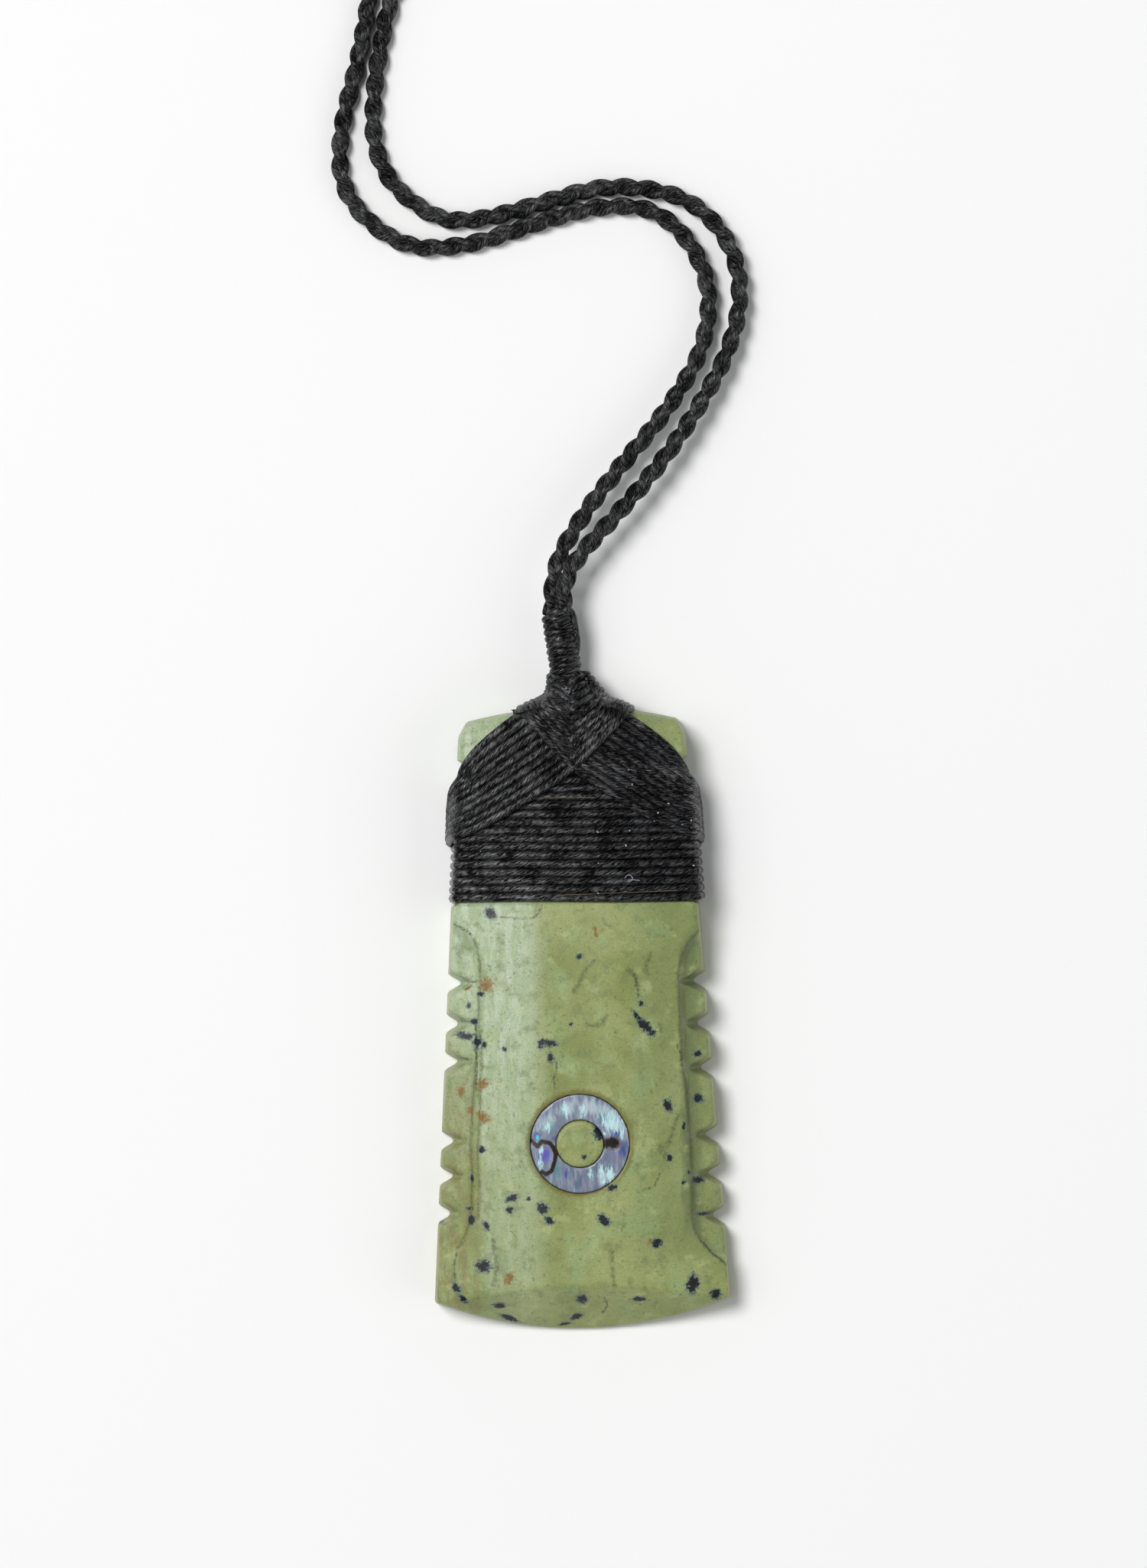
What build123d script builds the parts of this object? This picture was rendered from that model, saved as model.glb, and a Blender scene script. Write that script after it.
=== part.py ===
"""A toki pendant: a carved greenstone adze blade bound in waxed thread, on a plaited neck cord.

The blade lies on its flat back. X runs across it, +Y points to the poll and the neck cord, and +Z is
up, out of the carved front. The origin is the middle of the blade's length, on its back. Millimetres.
"""
from build123d import *

import math
import os

# Blade
stone_length = 76.0
poll_width = 28.0
blade_width = 36.3
poll_rise = 1.6             # how far the curved poll stands past its corners
poll_corner = 1.9           # length of the corner cut beside the poll
poll_corner_width = 1.05    # how far that cut comes in
blade_rise = 3.45           # how far the cutting edge bows past its corners
crest_height = 9.4          # greatest thickness of the blade
crest_place = 8.0           # where along Y the blade is thickest
bow_radius = 420.0          # lengthwise bow of the front
crown_flat = 9.0            # width of the level strip down the middle of the front
flank_slope = 8.7           # degrees, each side of that strip
flank_blend = 16.0          # radius that blends the strip into the flanks
side_lean = 3.5             # degrees that the sides lean in towards the front
edge_thickness = 1.0        # thickness at the middle of the cutting edge
bevel_angle = 50.5          # degrees between the blade's bevel and its back
front_chamfer = 0.4
poll_chamfer = 1.2
back_chamfer = 0.4
side_band = 1.0             # an edge this near the side belongs to it
rim_share = 0.4             # an edge above this share of the height belongs to the front
rim_steepness = 0.4         # and so does one that climbs no more than this

# Ledges down both long sides of the front. Top and bottom are where they end, as shares of the blade's
# length from its middle. The widths there run from the blade's side to the top of the riser, as shares
# of the blade's width.
ledges = {
    "left": {"top": 0.171, "bottom": -0.403, "top_width": 0.120, "bottom_width": 0.128},
    "right": {"top": 0.163, "bottom": -0.422, "top_width": 0.085, "bottom_width": 0.114},
}
ledge_drop = 1.5            # height of the riser
ledge_slope = 12.0          # degrees that the ledge falls outwards
riser_lean = 30.0           # degrees that the riser leans back
ledge_corner = 7.4          # radius where the riser runs out to the side

# Notches, placed by shares of the blade's length from its middle
notch_places = {
    "left": (0.059, -0.006, -0.067, -0.194, -0.251, -0.311),
    "right": (0.056, -0.013, -0.084, -0.192, -0.254, -0.322),
}
notch_depth = 1.8           # at the back
notch_lean = 14.0           # degrees that the root of the notch leans into the blade
notch_half_angle = 29.5     # degrees

# Shell ring
ring_outer = 12.0
ring_inner = 5.9
ring_thickness = 1.5
ring_place = -15.3          # Y of its middle
ring_gap = 0.06
ring_sink = 0.03            # how far the ring's face lies under the stone's

# Binding
thread = 1.0                # thickness of the waxed thread
piece_gap = 0.05            # between pieces that lie on each other
seat_side = 0.65            # depth of the binding's seat in the blade's sides
seat_front = 0.3
seat_back = thread + piece_gap
band_place = 0.183          # where the lowest turn is, as a share of the blade's length
band_width = 17.6
wrap_thickness = 0.9        # the slanting threads that lie on the band
wrap_side = 0.55            # what they add where they turn round the side
wrap_low_drop = 8.6         # under the band's top, where the lowest of them turns round the side
wrap_high_drop = 1.8        # and the highest
wrap_meet_drop = 0.2        # and where the lowest of them cross on the middle line
crown_half_width = 7.4
crown_thickness = 1.9
waist_rise = 1.6            # Y of the crown's waist past the poll
waist_half_width = 3.5
waist_half_depth = 3.7

# Neck
neck_foot_left = 0.5        # how far left of the middle line the neck starts
neck_foot_rise = 3.7        # how far past the poll
neck_lean = 7.6             # degrees to the left
neck_length = 8.0
neck_diameter = 4.1
neck_height = 4.6           # of its middle line above the surface

# Cords
cord_diameter = 2.05
closure_diameter = 4.6
closure_length = 12.0
closure_middle = (4.0, 226.5)
closure_end = 0.7           # rounding of its ends
arc_share = 0.45            # how much of the shorter run each bend of a cord takes

# Each cord's route: it leaves the neck, runs beside the other in an S, then opens into a loop
left_route = [
    (-2.31, 49.40, 4.00), (-2.50, 53.40, 4.00), (-0.40, 58.00, 3.95), (4.90, 64.90, 3.60),
    (12.60, 74.00, 2.90), (17.60, 82.40, 2.10), (17.80, 91.20, 1.50), (12.20, 98.60, 1.15),
    (4.60, 99.20, 1.06), (-3.70, 96.95, 1.05), (-11.80, 94.35, 1.05), (-19.90, 94.30, 1.05),
    (-27.00, 100.90, 1.05), (-27.00, 109.00, 1.05), (-24.40, 117.60, 1.05), (-22.40, 128.50, 1.05),
    (-25.40, 143.00, 1.05), (-27.00, 163.00, 1.05), (-26.20, 184.00, 1.05), (-20.50, 203.50, 1.05),
    (-16.50, 217.50, 1.05), (-9.00, 226.50, closure_diameter / 2),
    (closure_middle[0] - closure_length / 2, closure_middle[1], closure_diameter / 2),
]
right_route = [
    (-0.60, 49.60, 5.35), (-0.55, 53.60, 5.35), (1.80, 57.40, 5.20), (6.90, 63.30, 4.70),
    (13.60, 71.00, 3.90), (21.20, 82.60, 2.60), (21.80, 92.40, 1.80), (16.10, 100.00, 1.30),
    (6.10, 101.80, 1.08), (-1.60, 99.80, 1.05), (-9.80, 97.55, 1.05), (-15.90, 97.70, 1.05),
    (-22.90, 104.30, 1.05), (-22.80, 115.20, 1.05), (-19.10, 130.30, 1.05), (-6.50, 141.50, 1.05),
    (12.50, 149.00, 1.05), (27.50, 161.50, 1.05), (34.00, 180.00, 1.05), (33.00, 199.50, 1.05),
    (25.50, 216.50, 1.05), (17.00, 226.50, closure_diameter / 2),
    (closure_middle[0] + closure_length / 2, closure_middle[1], closure_diameter / 2),
]

half_length = stone_length / 2
poll_shoulder = half_length - poll_rise - poll_corner
poll_edge = half_length - poll_rise / 2
blade_corner = -half_length + blade_rise
band_bottom = band_place * stone_length
band_top = band_bottom + band_width
wrap_low = band_top - wrap_low_drop
wrap_high = band_top - wrap_high_drop
wrap_meet = band_top - wrap_meet_drop
room = 3 * crest_height     # more than the blade's height, for tools that cut right through


def side_at(y):
    """Half the blade's width on its back, at a place along it."""
    share = (y - blade_corner) / (poll_shoulder - blade_corner)
    return (blade_width + share * (poll_width - blade_width)) / 2


def outline(grow=0.0):
    """The blade's plan: two straight sides, a bowed cutting edge, a curved poll with cut corners."""
    corner_x = poll_width / 2 - poll_corner_width
    corner_y = half_length - poll_rise
    cutting = ThreePointArc(
        (-blade_width / 2, blade_corner), (0, -half_length), (blade_width / 2, blade_corner)
    )
    right = Polyline(
        (blade_width / 2, blade_corner), (poll_width / 2, poll_shoulder), (corner_x, corner_y)
    )
    poll = ThreePointArc((corner_x, corner_y), (0, half_length), (-corner_x, corner_y))
    left = Polyline(
        (-corner_x, corner_y), (-poll_width / 2, poll_shoulder), (-blade_width / 2, blade_corner)
    )
    plan = make_face([cutting, *right.edges(), poll, *left.edges()])
    if grow:
        plan = offset(plan, grow, kind=Kind.INTERSECTION)
    return plan


def bowed(profile):
    """A cross-section swept along the lengthwise bow of the front."""
    axis = Axis((0, crest_place, crest_height - bow_radius), (1, 0, 0))
    swing = math.degrees(1.5 * stone_length / bow_radius)
    section = Plane(origin=(0, crest_place, 0), x_dir=(1, 0, 0), z_dir=(0, -1, 0)) * profile
    return revolve(section.rotate(axis, -swing / 2), axis=axis, revolution_arc=swing)


def front_form(lift=0.0):
    """Everything under the blade's front: a level strip with a sloping flank on each side."""
    reach = blade_width
    top = crest_height + lift
    fall = (reach - crown_flat / 2) * math.tan(math.radians(flank_slope))
    corners = [
        (-reach, -room), (reach, -room), (reach, top - fall), (crown_flat / 2, top),
        (-crown_flat / 2, top), (-reach, top - fall),
    ]
    profile = make_face(Polyline(*corners, close=True))
    crown = profile.vertices().sort_by(Axis.Y)[-2:]
    return bowed(fillet(crown, flank_blend))


def blank(side=0.0, front=0.0, foot=0.0):
    """The uncut blade, grown outwards and upwards, standing on a plane at the height foot."""
    wider = -foot * math.tan(math.radians(side_lean))
    body = extrude(Pos(0, 0, foot) * outline(side + wider), 2 * room, taper=side_lean)
    return body & front_form(front)


def across(low, high, bottom=-room, top=room):
    """A box right across the blade between two places along it."""
    wide = 3 * blade_width
    return Pos(0, (low + high) / 2, (bottom + top) / 2) * Box(wide, high - low, top - bottom)


def prism(*corners):
    """An upright prism on a plan polygon, taller than the blade."""
    return extrude(Pos(0, 0, -room) * make_face(Polyline(*corners, close=True)), 2 * room)


def seated_core(gap=0.0):
    """The blade inside the binding's seat, grown by a gap."""
    return blank(gap - seat_side, gap - seat_front, seat_back - gap)


def front_at(x, y):
    """Height of the blade's front, with a plain corner between its strip and its flanks."""
    bow = bow_radius - math.sqrt(bow_radius**2 - (y - crest_place) ** 2)
    flank = max(0.0, abs(x) - crown_flat / 2) * math.tan(math.radians(flank_slope))
    return crest_height - bow - flank


def blade_bevel():
    """What is ground away above the bevel of the cutting edge."""
    rise = math.tan(math.radians(bevel_angle))
    back, ahead = blade_rise, 2 * crest_height
    corners = [
        (-half_length - back, edge_thickness - back * rise),
        (-half_length + ahead, edge_thickness + ahead * rise),
        (-half_length - back, edge_thickness + ahead * rise),
    ]
    face = Plane.YZ * make_face(Polyline(*corners, close=True))
    return extrude(face, blade_width, both=True)


def ledge(hand, ends):
    """The rebate down one side of the front, whose riser runs out to the side at both ends."""
    lean = math.tan(math.radians(riser_lean))
    fall = math.tan(math.radians(ledge_slope))
    top, bottom = ends["top"] * stone_length, ends["bottom"] * stone_length
    beyond = 3 * ledge_corner
    inner_top = side_at(top) - ends["top_width"] * blade_width
    brim = front_at(inner_top, top)
    inner_bottom = side_at(bottom) - ends["bottom_width"] * blade_width
    sag = brim - front_at(inner_bottom, bottom)
    inner_bottom = inner_bottom - sag * lean
    plan = make_face(
        Polyline(
            (hand * inner_top, top),
            (hand * inner_bottom, bottom),
            (hand * (inner_bottom + beyond), bottom),
            (hand * (inner_top + beyond), top),
            close=True,
        )
    )
    inner = sorted(plan.vertices(), key=lambda corner: abs(corner.X))[:2]
    plan = Pos(0, 0, brim) * fillet(inner, ledge_corner)
    above = extrude(plan, crest_height, taper=-riser_lean)
    below = extrude(plan, crest_height / 2, dir=(0, 0, -1), taper=riser_lean)
    foot = inner_top + ledge_drop * lean
    reach = inner_bottom + beyond
    floor = bowed(
        make_face(
            Polyline(
                (0, -room),
                (hand * reach, -room),
                (hand * reach, brim - ledge_drop - (reach - foot) * fall),
                (0, brim - ledge_drop + foot * fall),
                close=True,
            )
        )
    )
    return (above + below) - floor


def notch(hand, share):
    """One V cut in the side, whose root leans into the blade towards the front."""
    y = share * stone_length
    root = side_at(y) - notch_depth
    out = 3 * notch_depth
    half_mouth = out * math.tan(math.radians(notch_half_angle))
    lean = math.tan(math.radians(notch_lean))
    start = root + room * lean
    corners = [
        (hand * start, y),
        (hand * (start + out), y - half_mouth),
        (hand * (start + out), y + half_mouth),
    ]
    face = Pos(0, 0, -room) * make_face(Polyline(*corners, close=True))
    length = 2 * room * math.hypot(1, lean)
    return extrude(face, length, dir=(-hand * lean, 0, 1))


def ring_space(gap=0.0):
    """An upright sleeve for the ring, from its floor up through the front."""
    floor = front_at(0, ring_place) - ring_thickness - gap
    sleeve = Cylinder(ring_outer / 2 + gap, room) - Cylinder(ring_inner / 2 - gap, room)
    return Pos(0, ring_place, floor + room / 2) * sleeve


def toki_blade():
    """The stone, with every cut."""
    stone = blank()
    poll_edges = [edge for edge in front_rim(stone) if edge.center().Y > poll_shoulder + poll_corner]
    stone = chamfer(poll_edges, poll_chamfer)
    foot_edges = [edge for edge in stone.edges() if abs(edge.center().Z) < 0.001]
    stone = chamfer(foot_edges, back_chamfer)
    stone = stone - blade_bevel() - ledge(-1, ledges["left"]) - ledge(1, ledges["right"])
    stone = chamfer(side_rim(stone), front_chamfer)
    seat = across(band_bottom, band_top, top=room) + across(band_bottom, stone_length, top=seat_back)
    stone = stone - (seat - seated_core())
    for hand, name in ((-1, "left"), (1, "right")):
        for share in notch_places[name]:
            stone = stone - notch(hand, share)
    return stone - ring_space(ring_gap)


def front_rim(stone):
    """The level edges of a blade that are up at its front."""
    high = [edge for edge in stone.edges() if edge.center().Z > rim_share * crest_height]
    return [edge for edge in high if abs(edge.tangent_at(0.5).Z) < rim_steepness]


def side_rim(stone):
    """Those of them that run along the blade's sides, clear of the poll and of the blade's bevel."""
    rim = [edge for edge in front_rim(stone) if edge.center().Y < poll_shoulder]
    rim = [edge for edge in rim if abs(edge.center().X) > side_at(edge.center().Y) - side_band]
    return [edge for edge in rim if min(end.Y for end in edge.vertices()) > blade_corner + side_band]


def shell_ring():
    """The inlaid ring, flush with the blade's front."""
    return ring_space() & front_form(-ring_sink)


def binding_band():
    """The level turns of thread, one solid sleeve in the blade's seat."""
    outer = blank(thread - seat_side, thread - seat_front, piece_gap) & across(
        band_bottom + piece_gap, band_top - piece_gap
    )
    return outer - seated_core(piece_gap)


def over_band(side, front, foot):
    """The space outside the band and the bare blade, out to a given growth of the blade."""
    outer = blank(side, front, foot)
    band = blank(thread - seat_side + piece_gap, thread - seat_front + piece_gap, -room)
    return outer - (band & across(-room, band_top)) - blank(piece_gap, piece_gap, -room)


def slanting_wrap(hand):
    """The slanting threads over one half of the front, from the side up to the poll."""
    beyond = poll_width
    rise = (wrap_meet - wrap_low) / (poll_width / 2)
    plan = prism(
        (hand * beyond, wrap_low - rise * (beyond - poll_width / 2)),
        (hand * poll_width / 2, wrap_low),
        (hand * piece_gap, wrap_meet),
        (hand * (crown_half_width + piece_gap), poll_edge),
        (hand * poll_width / 2, wrap_high),
        (hand * beyond, wrap_high),
    )
    side = thread - seat_side + wrap_side
    return over_band(side, thread - seat_front + wrap_thickness, seat_back) & plan


def neck_plane(along):
    """A plane square to the neck, a given distance up it."""
    lean = math.radians(neck_lean)
    x = -neck_foot_left - along * math.sin(lean)
    y = half_length + neck_foot_rise + along * math.cos(lean)
    return Plane(
        origin=(x, y, neck_height),
        x_dir=(math.cos(lean), math.sin(lean), 0),
        z_dir=(-math.sin(lean), math.cos(lean), 0),
    )


def binding_crown():
    """The threads that cross in a V on the front, pass over the poll and gather to the neck."""
    depth = crest_height + crown_thickness
    shoulder = Plane(origin=(0, poll_edge, depth / 2), x_dir=(1, 0, 0), z_dir=(0, 1, 0))
    waist = Plane(origin=(0, half_length + waist_rise, neck_height), x_dir=(1, 0, 0), z_dir=(0, 1, 0))
    saddle = loft(
        [
            shoulder * Ellipse(crown_half_width, depth / 2 - piece_gap),
            waist * Ellipse(waist_half_width, waist_half_depth),
            neck_plane(0) * Circle(neck_diameter / 2),
        ]
    )
    vee = prism(
        (0, wrap_meet + 3 * piece_gap),
        (crown_half_width, poll_edge + 3 * piece_gap),
        (0, half_length + crown_thickness),
        (-crown_half_width, poll_edge + 3 * piece_gap),
    )
    front = over_band(crown_thickness / 2, crown_thickness, crest_height / 2) & vee
    stone = blank(piece_gap, piece_gap, seat_back - piece_gap)
    back = blank(0, 0, piece_gap) & vee & across(band_top, stone_length, piece_gap)
    above = saddle & across(-stone_length, stone_length, piece_gap, room)
    return (above - stone) + front + (back - stone)


def cord_whipping():
    """The wound neck, a plain round grip on both cords."""
    return extrude(neck_plane(piece_gap) * Circle(neck_diameter / 2), neck_length - piece_gap)


def corner_radii(route):
    """The bend radius at each inner point of a route, as large as its two runs allow."""
    points = [Vector(*point) for point in route]
    radii = []
    for before, here, after in zip(points, points[1:], points[2:]):
        arriving, leaving = here - before, after - here
        turn = math.radians(arriving.get_angle(leaving))
        shorter = min(arriving.length, leaving.length)
        radii.append(arc_share * shorter / math.tan(turn / 2))
    return radii


def cord(route):
    """A cord's tube along its route, and the length of its middle line."""
    path = FilletPolyline(*route, radius=corner_radii(route))
    start = Plane(origin=path @ 0, z_dir=path % 0)
    return sweep(start * Circle(cord_diameter / 2), path=path), path.length


def cord_closure():
    """The plain barrel in which both cords end."""
    x, y = closure_middle
    barrel = Rot(0, 90, 0) * Cylinder(closure_diameter / 2, closure_length)
    barrel = fillet(barrel.edges().filter_by(GeomType.CIRCLE), closure_end)
    return Pos(x, y, closure_diameter / 2) * barrel


def report_cord(name, route, tube, length):
    """Prints a cord's length, its radii and how its volume compares with its section."""
    section = math.pi * cord_diameter**2 / 4
    radii = " ".join(f"{radius:.1f}" for radius in corner_radii(route))
    print(f"{name}: {length:.1f} mm long, volume {tube.volume / (section * length):.4f} of section x length")
    print(f"  radii {radii}")


def main():
    """Makes every piece and writes it to its own file."""
    pieces = {
        "toki_blade": toki_blade(),
        "shell_ring": shell_ring(),
        "binding_band": binding_band(),
        "binding_left_wrap": slanting_wrap(-1),
        "binding_right_wrap": slanting_wrap(1),
        "binding_crown": binding_crown(),
        "cord_whipping": cord_whipping(),
        "cord_closure": cord_closure(),
    }
    neck_end = neck_plane(neck_length) * Pos(0, 0, -room) * Box(room, room, 2 * room)
    for name, route in (("cord_left", left_route), ("cord_right", right_route)):
        tube, length = cord(route)
        report_cord(name, route, tube, length)
        pieces[name] = tube - neck_end
    os.makedirs("parts", exist_ok=True)
    for name, piece in pieces.items():
        piece.label = name
        export_step(piece, f"parts/{name}.step")
        print(f"{name}: {len(piece.solids())} solid, {piece.volume:.1f} cubic mm")


main()
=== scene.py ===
# %% [markdown]
# # A toki pendant
#
# A toki is an adze blade. This one is a pendant: a blade of pale greenstone with stepped, notched sides
# and a ring of shell let into its front. Its head is bound in black waxed thread, and it hangs on two
# plaited cords of the same thread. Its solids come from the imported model, which fixes every size. This
# script gives them the finish of the real materials and adds what is too fine for the solids: each
# thread, each strand of the plaits, and the flecks in the stone.

import math

import bmesh
import bpy
import numpy as np
from mathutils import Matrix, Vector
from mathutils.bvhtree import BVHTree


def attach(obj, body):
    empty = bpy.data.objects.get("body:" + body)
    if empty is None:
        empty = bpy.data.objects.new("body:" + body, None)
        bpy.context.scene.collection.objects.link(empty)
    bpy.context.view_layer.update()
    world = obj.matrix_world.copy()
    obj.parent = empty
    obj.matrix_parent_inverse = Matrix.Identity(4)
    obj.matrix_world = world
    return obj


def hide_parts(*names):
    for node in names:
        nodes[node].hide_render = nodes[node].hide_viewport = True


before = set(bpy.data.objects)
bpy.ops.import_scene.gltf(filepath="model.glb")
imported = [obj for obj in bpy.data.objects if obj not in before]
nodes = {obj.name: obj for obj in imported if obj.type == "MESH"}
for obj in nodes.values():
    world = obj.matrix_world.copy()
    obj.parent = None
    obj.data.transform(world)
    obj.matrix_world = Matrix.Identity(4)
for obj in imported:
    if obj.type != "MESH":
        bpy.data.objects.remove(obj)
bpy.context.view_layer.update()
MM = 0.001

# %% [markdown]
# A few small helpers serve every material. A colour is picked from a photograph as a hex code, and the
# renderer works in linear light, so one function turns the first into the second. Another adds a node
# to a material with its settings and its links. The others start a material, and give a piece's own
# places in millimetres, the unit in which a maker thinks of grit, fibres and stains.

# %% Colour and nodes
def linear(hex_colour):
    """An sRGB hex colour as linear light."""
    channels = [int(hex_colour[place:place + 2], 16) / 255 for place in (1, 3, 5)]
    light = [c / 12.92 if c <= 0.04045 else ((c + 0.055) / 1.055) ** 2.4 for c in channels]
    return (*light, 1.0)


def add_node(tree, kind, inputs=(), **settings):
    """Adds a node. Its inputs are plain values, or sockets to link from."""
    node = tree.nodes.new("ShaderNode" + kind)
    for name, value in settings.items():
        setattr(node, name, value)
    for socket, value in dict(inputs).items():
        if isinstance(value, bpy.types.NodeSocket):
            tree.links.new(value, node.inputs[socket])
        else:
            node.inputs[socket].default_value = value
    return node


def start_material(name):
    """A new material, its nodes and its main shader."""
    material = bpy.data.materials.new(name)
    material.use_nodes = True
    tree = material.node_tree
    return material, tree, tree.nodes["Principled BSDF"]


def places_in_mm(tree):
    """Where each point of a piece lies, in millimetres."""
    places = add_node(tree, "TexCoord")
    scaled = add_node(tree, "VectorMath", {0: places.outputs["Object"], "Scale": 1 / MM}, operation="SCALE")
    return scaled.outputs[0]


print("Pale greenstone in linear light:", [round(c, 3) for c in linear("#9AA878")])

# %% [markdown]
# ## Camera
#
# The pendant lies on a table, and the camera looks straight down on it. A long lens two metres up keeps
# the blade's sides upright in the picture. The picture is rolled by about one degree, so the camera is
# turned by the same angle. The lens follows from the height of the picture in real millimetres.

# %% Camera
def in_scene(name, data):
    """A new object in the scene, with its mesh, its camera or its light."""
    piece = bpy.data.objects.new(name, data)
    bpy.context.scene.collection.objects.link(piece)
    return piece


camera_rise = 2000.0        # mm above the height that is measured in the picture
picture_height = 191.2      # mm that the picture covers, top to bottom
picture_middle = (0.07, 28.5)
picture_roll = 0.0193       # radians
front_height = 5.0          # mm above the table, the height that is measured

camera_data = bpy.data.cameras.new("camera")
camera = in_scene("camera", camera_data)
camera.location = Vector((*picture_middle, camera_rise + front_height)) * MM
camera.rotation_euler = (0.0, 0.0, -picture_roll)
camera_data.lens = camera_data.sensor_width * camera_rise / picture_height
camera_data.clip_end = 10.0
bpy.context.scene.camera = camera
print("Lens:", round(camera_data.lens), "mm")

# %% [markdown]
# ## Tubes along a line
#
# Thread, strand and cord are all round tubes that follow a line. A NURBS curve with a few guide points
# gives the smooth line, as a draughtsman's spline does between its weights. The line is then spaced
# evenly, and a curve with a round bevel turns it into a tube. The tube's UV map comes with it: one way
# along the tube, here scaled to millimetres, and one way round it. The material's twist follows that map.

# %% Lines
def smooth_line(guides, detail=12):
    """Points along a NURBS spline that has the guides as its control points, in their own unit."""
    curve = bpy.data.curves.new("line", "CURVE")
    curve.dimensions = "3D"
    curve.resolution_u = detail
    spline = curve.splines.new("NURBS")
    spline.points.add(len(guides) - 1)
    for point, guide in zip(spline.points, guides):
        point.co = (*guide, 1.0)
    spline.order_u = 3
    spline.use_endpoint_u = True
    holder = bpy.data.objects.new("line", curve)
    mesh = bpy.data.meshes.new_from_object(holder)
    line = np.array([vertex.co for vertex in mesh.vertices])
    bpy.data.objects.remove(holder)
    bpy.data.meshes.remove(mesh)
    return line


def spaced(line, step):
    """The same line with its points an even step apart."""
    along = np.concatenate([[0.0], np.cumsum(np.linalg.norm(np.diff(line, axis=0), axis=1))])
    places = np.linspace(0.0, along[-1], max(2, round(along[-1] / step) + 1))
    return np.stack([np.interp(places, along, line[:, axis]) for axis in range(3)], axis=1)


corner = smooth_line([(0.0, 0.0, 0.0), (1.0, 0.0, 0.0), (1.0, 1.0, 0.0)])
print("Three guides give a rounded corner of", len(corner), "points")

# %% Tubes
def tube(line, thickness, rings=2, first=0.0):
    """A round tube along a line in mm. Its UV map counts millimetres along it, from the first one given."""
    curve = bpy.data.curves.new("tube", "CURVE")
    curve.dimensions = "3D"
    curve.bevel_depth = thickness / 2 * MM
    curve.bevel_resolution = rings
    curve.use_fill_caps = True
    spline = curve.splines.new("POLY")
    spline.points.add(len(line) - 1)
    ones = np.ones((len(line), 1))
    spline.points.foreach_set("co", np.hstack([line * MM, ones]).ravel())
    holder = bpy.data.objects.new("tube", curve)
    mesh = bpy.data.meshes.new_from_object(holder)
    bpy.data.objects.remove(holder)
    long = np.linalg.norm(np.diff(line, axis=0), axis=1).sum()
    layer = mesh.uv_layers[0].data
    shares = np.empty(len(layer) * 2)
    layer.foreach_get("uv", shares)
    shares[0::2] = shares[0::2] * long + first
    layer.foreach_set("uv", shares)
    return mesh


def gathered(name, meshes, material):
    """One smooth-shaded object out of several meshes."""
    shape = bmesh.new()
    for mesh in meshes:
        shape.from_mesh(mesh)
    for face in shape.faces:
        face.smooth = True
    whole = bpy.data.meshes.new(name)
    shape.to_mesh(whole)
    shape.free()
    for mesh in meshes:
        bpy.data.meshes.remove(mesh)
    whole.materials.append(material)
    print(name, "has", sum(len(face.vertices) - 2 for face in whole.polygons), "triangles")
    return in_scene(name, whole)


def settle(piece, slot, *replaced):
    """Puts a piece on the pendant, in place of the solids that it stands for."""
    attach(piece, "root")
    if replaced:
        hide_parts(*replaced)


print("Helpers for pieces:", ", ".join(helper.__name__ for helper in (tube, gathered, settle)))

# %% [markdown]
# ## Waxed thread
#
# The real thread is polyester, drawn through wax and dyed black. It is not a flat black: where the fibres
# face the light the wax shines blue-grey, in fine broken dashes that slant a little across the thread, and
# the hollows stay black. Fibres wind round a thread, so their noise is laid out in twisted places: the
# way along the thread, and a point that goes round with the twist. That noise lifts the surface, and it
# also says where there is wax to shine. Fibres shine only where the light falls square across them, so the
# shine is anisotropic: narrow along the thread and wide across it. That is why the threads that slant one
# way gleam in the picture and the ones that slant the other way stay black.

# %% Material: waxed polyester thread, twisted and dyed black
fibre_scale = 4.2           # gives the noise some 26 cells round a thread. Real fibres are too fine to show
fibre_stretch = 0.38        # of the noise along a thread, which makes a cell about 0.6 mm long
fibre_depth = 0.1           # mm from the fibres' tops to the hollows
patch_scale = 0.45          # patches of thicker wax for each millimetre
patch_share = 0.3           # of the patches in where the wax shines


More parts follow.
